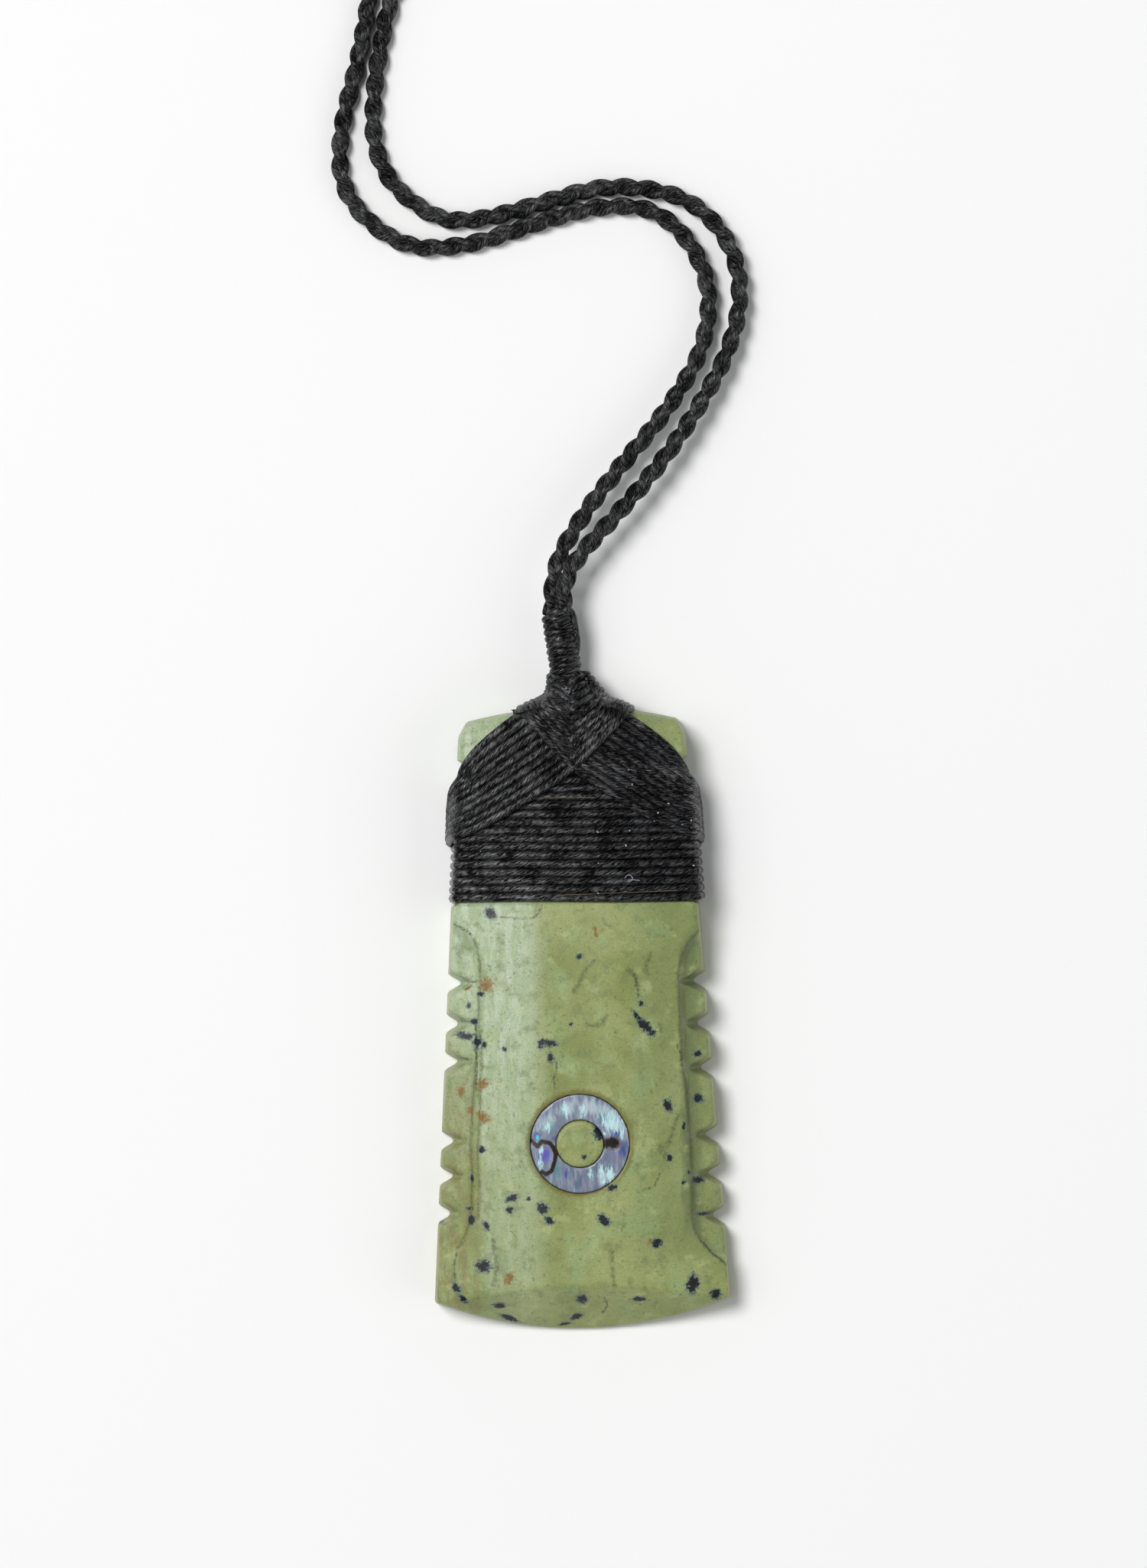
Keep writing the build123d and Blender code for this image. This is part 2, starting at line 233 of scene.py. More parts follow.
def waxed_thread(name, twist, dark, wax, roughness):
    """Twisted thread under wax. The twist is in millimetres of thread for one turn of its fibres."""
    material, tree, shader = start_material(name)
    places = add_node(tree, "UVMap", uv_map="UVMap")
    parts = add_node(tree, "SeparateXYZ", {0: places.outputs[0]})
    turns = add_node(
        tree, "Math", {0: parts.outputs["X"], 1: 1 / twist, 2: parts.outputs["Y"]}, operation="MULTIPLY_ADD"
    )
    angle = add_node(tree, "Math", {0: turns.outputs[0], 1: 2 * math.pi}, operation="MULTIPLY")
    one_way = add_node(tree, "Math", {0: angle.outputs[0]}, operation="COSINE")
    other_way = add_node(tree, "Math", {0: angle.outputs[0]}, operation="SINE")
    along = add_node(tree, "Math", {0: parts.outputs["X"], 1: fibre_stretch}, operation="MULTIPLY")
    twisted = add_node(
        tree, "CombineXYZ", {0: along.outputs[0], 1: one_way.outputs[0], 2: other_way.outputs[0]}
    )
    fibres = add_node(
        tree, "TexNoise",
        {"Vector": twisted.outputs[0], "Scale": fibre_scale, "Detail": 3.0, "Roughness": 0.58},
    ).outputs["Fac"]
    bump = add_node(tree, "Bump", {"Strength": 1.0, "Distance": fibre_depth * MM, "Height": fibres})
    patches = add_node(tree, "TexNoise", {"Vector": places_in_mm(tree), "Scale": patch_scale, "Detail": 3.0})
    waxy = add_node(
        tree, "Math", {0: patches.outputs["Fac"], 1: patch_share, 2: fibres}, operation="MULTIPLY_ADD"
    )
    coat = add_node(
        tree, "MapRange",
        {"Value": waxy.outputs[0], "From Min": 0.6, "From Max": 0.83, "To Min": 0.04, "To Max": 1.9},
    )
    share = add_node(
        tree, "MapRange", {"Value": waxy.outputs[0], "From Min": 0.68, "From Max": 0.9, "To Max": 0.7}
    )
    colour = add_node(
        tree, "Mix", {"Factor": share.outputs[0], 6: linear(dark), 7: linear(wax)}, data_type="RGBA"
    )
    tree.links.new(colour.outputs[2], shader.inputs["Base Color"])
    tree.links.new(coat.outputs[0], shader.inputs["Specular IOR Level"])
    tree.links.new(bump.outputs[0], shader.inputs["Normal"])
    lie = add_node(tree, "Tangent", direction_type="UV_MAP", uv_map="UVMap")
    tree.links.new(lie.outputs[0], shader.inputs["Tangent"])
    shader.inputs["Anisotropic"].default_value = 0.85
    shader.inputs["Anisotropic Rotation"].default_value = 0.25
    shader.inputs["Roughness"].default_value = roughness
    shader.inputs["IOR"].default_value = 1.5
    return material


thread_finish = waxed_thread("waxed polyester thread", 6.0, "#060607", "#2B2E36", 0.4)
plait_finish = waxed_thread("waxed polyester thread in a plait", 3.0, "#070708", "#26282F", 0.44)
print("Materials:", thread_finish.name, "and", plait_finish.name)

# %% [markdown]
# ## The plaited cords
#
# Each cord is a four-strand plait, about 2 mm thick. Two strands loop round on its right and two on its
# left, and the loops catch in each other, so lumps show by turns along its two edges. A plain tube with a
# plait drawn on it would lose that lumpy edge, so each strand is its own tube, round a thin filling that
# closes the gaps between them. The route is the cord's own: out of the wound neck, beside the other cord
# in an S, and on into a whole loop that goes round a neck. The guide points are those of the model's
# cords, and the first five of each are within a millimetre of them.

# %% Cords: routes
left_route = [
    (-2.20, 49.30, 4.00), (-2.20, 53.20, 4.00), (-0.50, 57.90, 3.95), (4.60, 65.00, 3.60),
    (12.60, 74.00, 2.90), (17.60, 82.40, 2.10), (17.80, 91.20, 1.50), (12.20, 98.60, 1.15),
    (4.60, 99.20, 1.06), (-3.70, 96.95, 1.05), (-11.80, 94.35, 1.05), (-19.90, 94.30, 1.05),
    (-27.00, 100.90, 1.05), (-27.00, 109.00, 1.05), (-24.40, 117.60, 1.05), (-22.40, 128.50, 1.05),
    (-25.40, 143.00, 1.05), (-27.00, 163.00, 1.05), (-26.20, 184.00, 1.05), (-20.50, 203.50, 1.05),
    (-16.50, 217.50, 1.05), (-9.00, 226.50, 2.30), (-2.00, 226.50, 2.30),
]
right_route = [
    (-0.75, 49.50, 5.35), (-0.80, 53.40, 5.35), (2.00, 57.20, 5.20), (7.70, 63.00, 4.70),
    (14.20, 70.80, 3.90), (21.20, 82.60, 2.60), (21.80, 92.40, 1.80), (16.10, 100.00, 1.30),
    (6.10, 101.80, 1.08), (-1.60, 99.80, 1.05), (-9.80, 97.55, 1.05), (-15.90, 97.70, 1.05),
    (-22.90, 104.30, 1.05), (-22.80, 115.20, 1.05), (-19.10, 130.30, 1.05), (-6.50, 141.50, 1.05),
    (12.50, 149.00, 1.05), (27.50, 161.50, 1.05), (34.00, 180.00, 1.05), (33.00, 199.50, 1.05),
    (25.50, 216.50, 1.05), (17.00, 226.50, 2.30), (10.00, 226.50, 2.30),
]
print("Guide points:", len(left_route), "and", len(right_route))

# %% Cords: the plait's sizes
strand_count = 4
strand_thickness = 1.0
strand_swing = 0.43         # mm that a strand swings to each side of the middle of its loop
strand_rise = 0.52          # mm that it passes over and under
loop_shift = 0.22           # mm from the cord's middle line to the middle of the loop
lay = 5.76                  # mm of cord for one whole loop of a strand
steps_per_lay = 18
plait_roll = 0.5            # radians that the plait rolls to each side
roll_length = 47.0          # mm of cord for one such roll and back
plait_lift = 0.08           # mm that a plait is lifted, so that its lumps rest on the table
core_thickness = 1.2        # of the filling of loose thread between the strands
strand_offset = 11.3        # mm by which one strand's fibres are shifted from the last one's
print("A strand loops round once in", lay, "mm of cord")

# %% Cords: strands
def carried_frames(line):
    """At each point of a line, two directions square to it that turn no more than they must."""
    ahead = np.gradient(line, axis=0)
    ahead /= np.linalg.norm(ahead, axis=1, keepdims=True)
    side = np.cross(ahead[0], (0.0, 0.0, 1.0))
    sides = []
    for direction in ahead:
        side = side - direction * side.dot(direction)
        side /= np.linalg.norm(side)
        sides.append(side)
    sides = np.array(sides)
    return sides, np.cross(ahead, sides)


def plaited_cord(name, route):
    """A cord of four strands along a route, its filling, and the line that they follow, in mm."""
    line = spaced(smooth_line(route), lay / steps_per_lay) + (0.0, 0.0, plait_lift)
    sides, tops = carried_frames(line)
    along = np.arange(len(line)) * np.linalg.norm(line[1] - line[0])
    roll = plait_roll * np.sin(2 * math.pi * along / roll_length)
    strands = []
    for number in range(strand_count):
        hand = 1 if number % 2 else -1
        turn = 2 * math.pi * (along / lay + number / strand_count)
        across = hand * (loop_shift + strand_swing * np.cos(turn))
        upward = strand_rise * np.sin(turn)
        by_side = across * np.cos(roll) - upward * np.sin(roll)
        by_top = across * np.sin(roll) + upward * np.cos(roll)
        path = line + sides * by_side[:, None] + tops * by_top[:, None]
        strands.append(tube(path, strand_thickness, first=number * strand_offset))
    filling = gathered(name + "_filling", [tube(line, core_thickness)], plait_finish)
    return gathered(name + "_plait", strands, plait_finish), filling, line


widest = 2 * (loop_shift + strand_swing) + strand_thickness
print("The plait is", round(widest, 2), "mm wide over its lumps")

# %% Cords: both of them
for name, route in (("cord_left", left_route), ("cord_right", right_route)):
    piece, filling, line = plaited_cord(name, route)
    settle(filling, "plaited_cord")
    settle(piece, "plaited_cord", name)

# %% [markdown]
# ## Table and light
#
# The table is a plain sheet of white card. A lamp stands high on the left, a little above the picture's
# middle, so that shadows fall to the right and a little down, and a wide, lower window softens them. A
# white wall on the right throws some of the light back, which keeps the shadow beside the blade a pale
# grey. The room is pale along its walls and dark overhead: black thread that faces straight up stays black.

# %% Table
card_finish, _, shader = start_material("matte white card")
shader.inputs["Base Color"].default_value = linear("#F6F6F5")
shader.inputs["Roughness"].default_value = 0.9
bpy.ops.mesh.primitive_plane_add(size=4.0, location=(0.0, 0.0, 0.0))
table = bpy.context.object
table.name = "table"
table.data.materials.append(card_finish)
print("The table is", card_finish.name)

# %% Lamps
def lamp(name, size, turn, height, distance, energy):
    """A disk lamp that looks at the pendant. Its turn and height are in degrees, its energy in watts."""
    data = bpy.data.lights.new(name, "AREA")
    data.shape = "DISK"
    data.size = size
    data.energy = energy
    place = Vector((
        math.cos(math.radians(turn)) * math.cos(math.radians(height)),
        math.sin(math.radians(turn)) * math.cos(math.radians(height)),
        math.sin(math.radians(height)),
    )) * distance
    piece = in_scene(name, data)
    piece.location = place
    piece.rotation_euler = (-place).to_track_quat("-Z", "Y").to_euler()
    print(name, "stands at", [round(c, 2) for c in place], "m")


lamp("lamp", size=0.75, turn=141, height=64, distance=2.0, energy=26.6)
lamp("window", size=1.8, turn=172, height=60, distance=2.0, energy=9.4)
lamp("wall", size=1.8, turn=340, height=40, distance=2.0, energy=7.5)

# %% Room
room = bpy.data.worlds.new("pale room")
bpy.context.scene.world = room
room.use_nodes = True
sky = room.node_tree.nodes["Background"]
directions = add_node(room.node_tree, "TexCoord")
heights = add_node(room.node_tree, "SeparateXYZ", {0: directions.outputs["Generated"]})
glow = add_node(
    room.node_tree, "MapRange",
    {"Value": heights.outputs["Z"], "From Min": 0.0, "From Max": 0.75, "To Min": 0.65, "To Max": 0.08},
)
sky.inputs["Color"].default_value = linear("#F2F5F8")
room.node_tree.links.new(glow.outputs[0], sky.inputs["Strength"])
bpy.context.scene.view_settings.view_transform = "Standard"
print("Around it is a", room.name)

# %% [markdown]
# ## The stone
#
# The blade is nephrite, a tough felt of fine fibres, sawn, ground and honed by hand. Honing softens every
# edge a little, so the solid is rebuilt as an even, fine mesh and relaxed once. The even mesh serves a
# second purpose: each of its points can hold a value, and that is how the flecks are placed. A fleck is
# an ellipse on the stone's plan. Its value is one at its middle, a half on its outline and nothing at
# twice its size, and the material frays the outline with noise. Rust stains are charted in the same way.

# %% Stone: an even mesh
seam_gap = 0.002            # mm, within which two corners of the solid's loose triangles are one


def merged_solid(node):
    """A solid of the model as one closed shape. Its mesh comes as loose triangles."""
    shape = bmesh.new()
    shape.from_mesh(nodes[node].data)
    bmesh.ops.remove_doubles(shape, verts=shape.verts, dist=seam_gap * MM)
    return shape


def dense_copy(name, node, voxel):
    """A copy of a solid as an even mesh of small quads, so many millimetres wide."""
    shape = merged_solid(node)
    mesh = bpy.data.meshes.new(name)
    shape.to_mesh(mesh)
    shape.free()
    piece = in_scene(name, mesh)
    remesh = piece.modifiers.new("even quads", "REMESH")
    remesh.mode = "VOXEL"
    remesh.voxel_size = voxel * MM
    remesh.use_smooth_shade = True
    bpy.context.view_layer.update()
    even = bpy.data.meshes.new_from_object(piece.evaluated_get(bpy.context.evaluated_depsgraph_get()))
    piece.modifiers.clear()
    piece.data = even
    bpy.data.meshes.remove(mesh)
    even.name = name
    shape = bmesh.new()
    shape.from_mesh(even)
    bmesh.ops.smooth_vert(
        shape, verts=shape.verts, factor=0.5, use_axis_x=True, use_axis_y=True, use_axis_z=True
    )
    shape.to_mesh(even)
    shape.free()
    print(name, "has", len(even.polygons) * 2, "triangles")
    return piece


stone = dense_copy("toki_stone", "toki_blade", 0.28)

# %% Stone: charts of its marks
# Each mark of the first two charts is its middle, its half length and width, and its turn in degrees.
# Each mark of the others is a line through its points. All places and sizes are in mm.
fleck_chart = [
    (-10.4, 13.0, 0.7, 0.5, -45), (0.4, 7.5, 0.4, 0.3, 0), (-11.7, 3.1, 0.3, 0.4, 90),
    (-13.2, 1.8, 0.3, 0.3, 0), (-12.6, -0.2, 0.4, 0.4, 0), (-13.8, -1.9, 1.1, 0.4, -12),
    (-12.3, -2.7, 0.5, 0.6, 0), (-11.4, -3.0, 0.3, 0.4, 0), (-9.0, -3.6, 0.3, 0.3, 0),
    (-4.4, -3.0, 0.55, 0.42, 53), (-3.4, -2.95, 0.8, 0.4, -16), (-3.38, -4.85, 0.55, 0.38, -80),
    (-0.8, -0.7, 0.2, 0.3, 0), (7.8, 1.6, 0.3, 0.3, 0), (7.2, 0.2, 0.7, 0.2, -60),
    (8.2, -1.1, 1.1, 0.5, -42), (9.1, -2.0, 0.5, 0.4, 0), (14.6, -4.6, 0.5, 0.4, 0),
    (14.5, -10.1, 0.6, 0.5, 0), (10.8, -10.9, 0.7, 0.5, -60), (2.3, -14.0, 0.9, 0.6, -60),
    (12.7, -13.4, 0.4, 0.2, 90), (-12.0, -15.8, 0.4, 0.4, 0), (-13.2, -19.3, 0.5, 0.2, 90),
    (-8.5, -21.8, 0.7, 0.4, 20), (-8.7, -23.2, 0.4, 0.4, 0), (-6.4, -21.9, 0.3, 0.2, 0),
    (-4.7, -23.1, 0.7, 0.6, -60), (-3.9, -24.6, 0.6, 0.4, -45), (2.7, -24.6, 0.8, 0.5, -50),
    (3.8, -20.7, 0.5, 0.4, 0), (10.9, -17.2, 0.4, 0.3, 90), (12.5, -20.3, 0.3, 0.2, 0),
    (13.2, -19.1, 0.2, 0.2, 0), (14.3, -20.0, 0.7, 0.4, 0), (14.9, -24.2, 0.9, 0.2, 0),
    (-13.6, -23.0, 0.4, 0.2, 0), (-13.4, -24.4, 0.6, 0.4, 90), (-11.6, -25.1, 0.6, 0.3, -60),
    (-17.1, -24.7, 0.4, 0.2, 0), (-12.0, -30.0, 0.8, 0.7, 0), (-15.4, -32.6, 0.7, 0.4, -65),
    (-14.6, -34.0, 0.7, 0.3, -40), (-10.1, -34.9, 0.7, 0.3, 0), (-9.1, -36.5, 1.1, 0.3, -20),
    (-0.1, -34.3, 0.6, 0.5, 0), (-0.9, -36.5, 0.7, 0.3, 15), (-2.3, -37.4, 0.7, 0.2, 10),
    (6.9, -34.4, 0.7, 0.3, -5), (9.1, -27.6, 0.6, 0.5, 0), (13.5, -32.6, 1.0, 0.7, 80),
    (16.2, -34.0, 0.6, 0.6, 0), (0.5, -16.9, 0.3, 0.3, 0),
]
rust_chart = [
    (-11.0, 4.2, 0.8, 0.7, 60), (-13.3, 3.9, 0.6, 0.2, 20), (-11.6, -7.8, 0.7, 0.5, 20),
    (-14.4, -8.7, 0.6, 0.4, 90), (-13.3, -11.0, 0.4, 0.4, 0), (-11.7, -11.8, 0.8, 0.5, -40),
    (2.4, 10.5, 0.8, 0.2, -75), (-8.9, -31.6, 0.7, 0.5, 60), (8.4, -27.5, 0.3, 0.3, 0),
    (-13.8, 34.4, 0.4, 0.3, 90),
]
crack_chart = [
    ((-4.1, 13.8), (-4.5, 12.8), (-5.2, 12.3), (-7.6, 12.3), (-9.1, 12.5)),
    ((7.0, 5.1), (7.4, 3.6), (7.4, 2.4)), ((6.5, 1.1), (7.0, -0.1), (8.0, -1.4)),
    ((-3.45, -3.3), (-3.4, -4.6)),
    ((-3.1, -4.9), (-2.65, -5.3), (-2.65, -6.2), (-2.85, -6.95), (-3.1, -7.45), (-2.75, -8.5)),
    ((-2.0, -4.0), (-1.9, -4.6)), ((12.0, -3.3), (12.5, -4.5), (12.6, -6.0)),
    ((-12.4, -0.1), (-12.4, -4.2), (-12.4, -6.5), (-12.6, -8.7)),
    ((-15.3, -28.5), (-15.7, -29.9), (-15.5, -31.6)), ((2.7, -34.2), (3.0, -35.2), (2.3, -36.1)),
    ((-14.9, 11.7), (-13.7, 11.2), (-12.8, 10.5)), ((14.6, -27.6), (16.0, -29.1), (17.7, -30.5)),
    ((9.6, -19.2), (9.0, -20.6), (7.6, -21.1)), ((-14.0, 4.7), (-12.4, 4.6)),
    ((-14.6, -0.2), (-12.5, -0.2)), ((-15.0, -4.5), (-13.3, -4.8)),
]
vein_chart = [
    ((2.1, 6.8), (1.1, 5.9), (0.4, 4.6), (-0.3, 3.3)), ((6.3, 5.8), (7.0, 5.1), (7.4, 3.6)),
    ((9.1, 7.6), (8.6, 6.7), (8.4, 5.6)), ((3.5, 0.2), (3.0, -0.7), (2.1, -1.0), (1.0, -0.8)),
    ((-10.8, -26.7), (-10.6, -28.6), (-10.4, -30.0), (-10.8, -32.4)),
    ((12.1, -11.9), (11.3, -14.0), (10.5, -16.1), (10.2, -17.1)), ((3.6, -28.4), (3.7, -31.5), (3.8, -32.6)),
    ((9.7, -15.8), (9.9, -16.4)), ((10.0, -0.9), (10.1, -1.8)),
]
# the feet of the ledges' walls, where a dark line is painted as shade in the corner
riser_chart = [
    ((-13.7, 11.2), (-12.8, 10.5), (-12.1, 9.1), (-11.8, 7.1), (-11.7, 5.3), (-11.9, 2.6), (-12.1, -0.6),
     (-11.8, -2.9), (-11.8, -5.6), (-12.0, -8.7), (-12.1, -12.0), (-12.4, -15.2), (-12.4, -18.1),
     (-12.3, -21.6), (-12.6, -24.2)),
    ((-12.4, -0.1), (-12.4, -4.2), (-12.9, -9.0), (-13.2, -13.3), (-13.3, -15.7), (-13.2, -18.7),
     (-13.3, -21.6), (-13.5, -24.2), (-14.2, -26.3), (-15.2, -28.0)),
    ((15.0, 10.3), (13.7, 9.1), (12.8, 7.3), (12.4, 5.3), (12.4, 2.1), (12.5, -2.4), (12.7, -6.0),
     (13.2, -9.2), (13.3, -13.0), (13.5, -16.2), (13.6, -19.3), (13.5, -24.3), (13.8, -26.2),
     (14.6, -27.6), (16.0, -29.1), (17.7, -30.5)),
]
print("Charted", len(fleck_chart), "flecks,", len(rust_chart), "stains and", len(crack_chart), "cracks")

# %% [markdown]
# Three kinds of mark are lines: hairline cracks, veins, and the feet of the ledges' walls, where a dark
# line is painted shade in the corner, on the left partly a stain. A line's value falls from one on the
# line to nothing a short way off. Each point of the mesh is measured against every mark once, and keeps
# the greatest value. Flecks, stains and cracks fade on upright faces, because they are charted on the
# plan and would run down such a face as stripes.

# %% Stone: how near a point is to a mark
on_back = -0.5              # a point that faces up by less than this is on the back


def facing_up(piece):
    """How far each point of a piece faces up: one on its top, nothing on its sides, minus one below."""
    normals = np.empty(len(piece.data.vertices) * 3)
    piece.data.vertex_normals.foreach_get("vector", normals)
    return normals.reshape(-1, 3)[:, 2]


def plan_of(piece):
    """The plan of a piece's points in mm. On the back it is turned round, so the marks fall elsewhere."""
    places = np.empty(len(piece.data.vertices) * 3)
    piece.data.vertices.foreach_get("co", places)
    plan = places.reshape(-1, 3)[:, :2] / MM
    return np.where(facing_up(piece)[:, None] < on_back, -plan, plan)


def marks(plan, chart):
    """How deep in a mark each point lies: one at its middle, a half on its outline, then to nothing."""
    depth = np.zeros(len(plan))
    for x, y, half_length, half_width, turn in chart:
        angle = math.radians(turn)
        from_middle = plan - (x, y)
        along = (from_middle[:, 0] * math.cos(angle) + from_middle[:, 1] * math.sin(angle)) / half_length
        across = (from_middle[:, 1] * math.cos(angle) - from_middle[:, 0] * math.sin(angle)) / half_width
        depth = np.maximum(depth, 1 - np.hypot(along, across) / 2)
    return depth


def hairlines(plan, chart, width):
    """How near each point is to a line of the chart, from one on it to nothing a width away."""
    nearness = np.zeros(len(plan))
    for points in chart:
        for start, end in zip(points, points[1:]):
            run = np.subtract(end, start)
            share = np.clip((plan - start) @ run / (run @ run), 0, 1)[:, None]
            away = np.linalg.norm(plan - start - share * run, axis=1)
            nearness = np.maximum(nearness, 1 - away / width)
    return nearness


def keep_value(piece, name, values):
    """Keeps one value for each point of a piece, for its material to read."""
    layer = piece.data.attributes.new(name, "FLOAT", "POINT")
    layer.data.foreach_set("value", values.astype(np.float32))


print("The stone's mesh has", len(stone.data.vertices), "points to measure")

# %% Stone: values kept for its material
crack_width, vein_width, riser_width = 0.32, 0.65, 0.55      # mm to each side, with the soft rim
halo_middle, halo_radius = (0.0, -15.3), 6.2                 # of the painted shade line round the shell ring
halo_width = 0.9            # mm to each side
side_from = 14.5            # mm from the middle line, beyond which a steep face is the stone's outer rim
fade_below = 0.3            # how level a face is where its marks begin to fade
fleck_stay = 0.6            # of a fleck's value, which stays on an upright face

plan = plan_of(stone)
levelness = np.abs(facing_up(stone))
on_top = np.clip(levelness / fade_below, 0, 1)
keep_value(stone, "fleck", marks(plan, fleck_chart) * (fleck_stay + (1 - fleck_stay) * on_top))
keep_value(stone, "rust", marks(plan, rust_chart) * on_top)
keep_value(stone, "crack", hairlines(plan, crack_chart, crack_width) * on_top)
keep_value(stone, "vein", hairlines(plan, vein_chart, vein_width))
# painted shade along the foot of each ledge's wall
keep_value(stone, "riser_shade", hairlines(plan, riser_chart, riser_width))
from_halo = np.abs(np.hypot(*(plan - halo_middle).T) - halo_radius)
# painted shade round the shell ring, where it sits in its groove
keep_value(stone, "ring_shade", np.clip(1 - from_halo / halo_width, 0, 1))
# a painted glow on the steep outer rims, for light that passes through the thin stone
keep_value(stone, "rim", (1 - levelness) * (np.abs(plan[:, 0]) > side_from))
print("Values on the stone:", [layer.name for layer in stone.data.attributes if layer.data_type == "FLOAT"])

# %% [markdown]
# Nephrite is translucent at its skin: light goes in a little way and comes out soft and greenish. Its
# refractive index is about 1.61. Honed with fine grit, it has a soft sheen and no mirror. The scratches
# of the grit are drawn a fifth of a millimetre wide, since real ones are too fine to show. The ground
# drifts between grey-green and olive over some ten millimetres. The left flank is milky, with feathery
# fibres: partly the stone's own colour and partly painted sheen and light from the lamp on the left. The
# right flank is a deeper green, partly its own colour and partly painted shade. A fine mottle lies over all
# of it. The foot of each ledge's wall is painted olive brown: painted shade in that corner, on the left
# partly a stain. The thin outer rims are painted creamy, a painted glow of the light that passes through
# them.
#
# So the finish is built as a painter would, in thin layers over a ground. A layer lies where a value
# passes from one limit to another: a noise, a charted value, or the place across or along the blade.
# Where several limits hold at once, their shares are multiplied. Noise is added to a charted value
# first, so that a mark has a frayed outline and isn't a clean ellipse. An edge between two zones is
# frayed too: it is drawn where the way across, with some noise added, comes to a limit.

# %% Layers of colour
def zone(tree, *limits):
    """How much of a layer lies at each point, as a product of soft steps.

    A step is its value, the two limits, and its shares there where they aren't nothing and one. A share
    that is worked out already may stand in a step's place.
    """
    shares = []
    for limit in limits:
        if not isinstance(limit, bpy.types.NodeSocket):
            value, low, high, *ends = limit
            start, end = ends or (0.0, 1.0)
            step = add_node(
                tree, "MapRange",
                {"Value": value, "From Min": low, "From Max": high, "To Min": start, "To Max": end},
                interpolation_type="SMOOTHSTEP",
            )
            limit = step.outputs[0]
        shares.append(limit)
    whole = shares[0]
    for share in shares[1:]:
        whole = add_node(tree, "Math", {0: whole, 1: share}, operation="MULTIPLY").outputs[0]
    return whole


def layered(tree, ground, layers):
    """A ground with layers over it. Each layer is a colour and the limits of where it lies."""
    colour = ground
    for over, *limits in layers:
        below, above = (linear(side) if isinstance(side, str) else side for side in (colour, over))
        share = zone(tree, *limits)
        colour = add_node(tree, "Mix", {"Factor": share, 6: below, 7: above}, data_type="RGBA").outputs[2]
    return colour


def marked(tree, ground, stains):
    """A ground with charted marks over it.

    Each mark is its colour, its chart, the noise that frays it and how much of that, the limits of the
    frayed value, and its strength.
    """
    layers = []
    for over, chart, noise, fray, low, high, strength in stains:
        depth = add_node(tree, "Attribute", attribute_name=chart).outputs["Fac"]
        frayed = add_node(tree, "Math", {0: noise, 1: fray, 2: depth}, operation="MULTIPLY_ADD")
        layers.append((over, (frayed.outputs[0], low, high, 0.0, strength)))
    return layered(tree, ground, layers)


print("Helpers for a finish in layers:", ", ".join(helper.__name__ for helper in (zone, layered, marked)))

# %% Material: honed nephrite, its patterns
stone_finish, tree, shader = start_material("honed nephrite")
in_mm = places_in_mm(tree)
along_fibres = add_node(    # drawn out threefold, and turned by 0.7 radians, as the stone's fibres lie
    tree, "Mapping", {"Vector": in_mm, "Rotation": (0.0, 0.0, 0.7), "Scale": (1.1, 0.32, 0.6)}
).outputs[0]
stone_patterns = {          # where it is read, its features for each millimetre, its detail and roughness
    "ground": (in_mm, 0.12, 3.0, 0.6),
    "green drift": (in_mm, 0.22, 2.0, 0.6),
    "wisps": (in_mm, 0.42, 4.0, 0.6),
    "clouds": (in_mm, 0.55, 6.0, 0.62),
    "feathers": (along_fibres, 1.0, 5.0, 0.65),
    "spots": (in_mm, 2.1, 2.0, 0.6),
    "fine": (in_mm, 2.4, 5.0, 0.7),
    "grit": (in_mm, 5.0, 3.0, 0.7),
    "mottle": (in_mm, 5.5, 3.0, 0.75),
}
noises = {}
for name, (places, scale, detail, roughness) in stone_patterns.items():
    noise = add_node(
        tree, "TexNoise", {"Vector": places, "Scale": scale, "Detail": detail, "Roughness": roughness}
    )
    noises[name] = noise.outputs["Fac"]
print("Patterns of the stone:", ", ".join(noises))

# %% Material: honed nephrite, the layers of its ground
place = add_node(tree, "SeparateXYZ", {0: in_mm})
x, y = place.outputs["X"], place.outputs["Y"]
feathers = noises["feathers"]
wandering_x = add_node(tree, "Math", {0: feathers, 1: 2.4, 2: x}, operation="MULTIPLY_ADD").outputs[0]
ragged_x = add_node(tree, "Math", {0: feathers, 1: 5.0, 2: x}, operation="MULTIPLY_ADD").outputs[0]
slanting_y = add_node(tree, "Math", {0: x, 1: -1.2, 2: y}, operation="MULTIPLY_ADD").outputs[0]
low_ledge = zone(tree, (wandering_x, -10.4, -11.8), (y, 6.0, -19.0))
off_ledge = add_node(tree, "Math", {0: low_ledge, 1: -0.8, 2: 1.0}, operation="MULTIPLY_ADD").outputs[0]
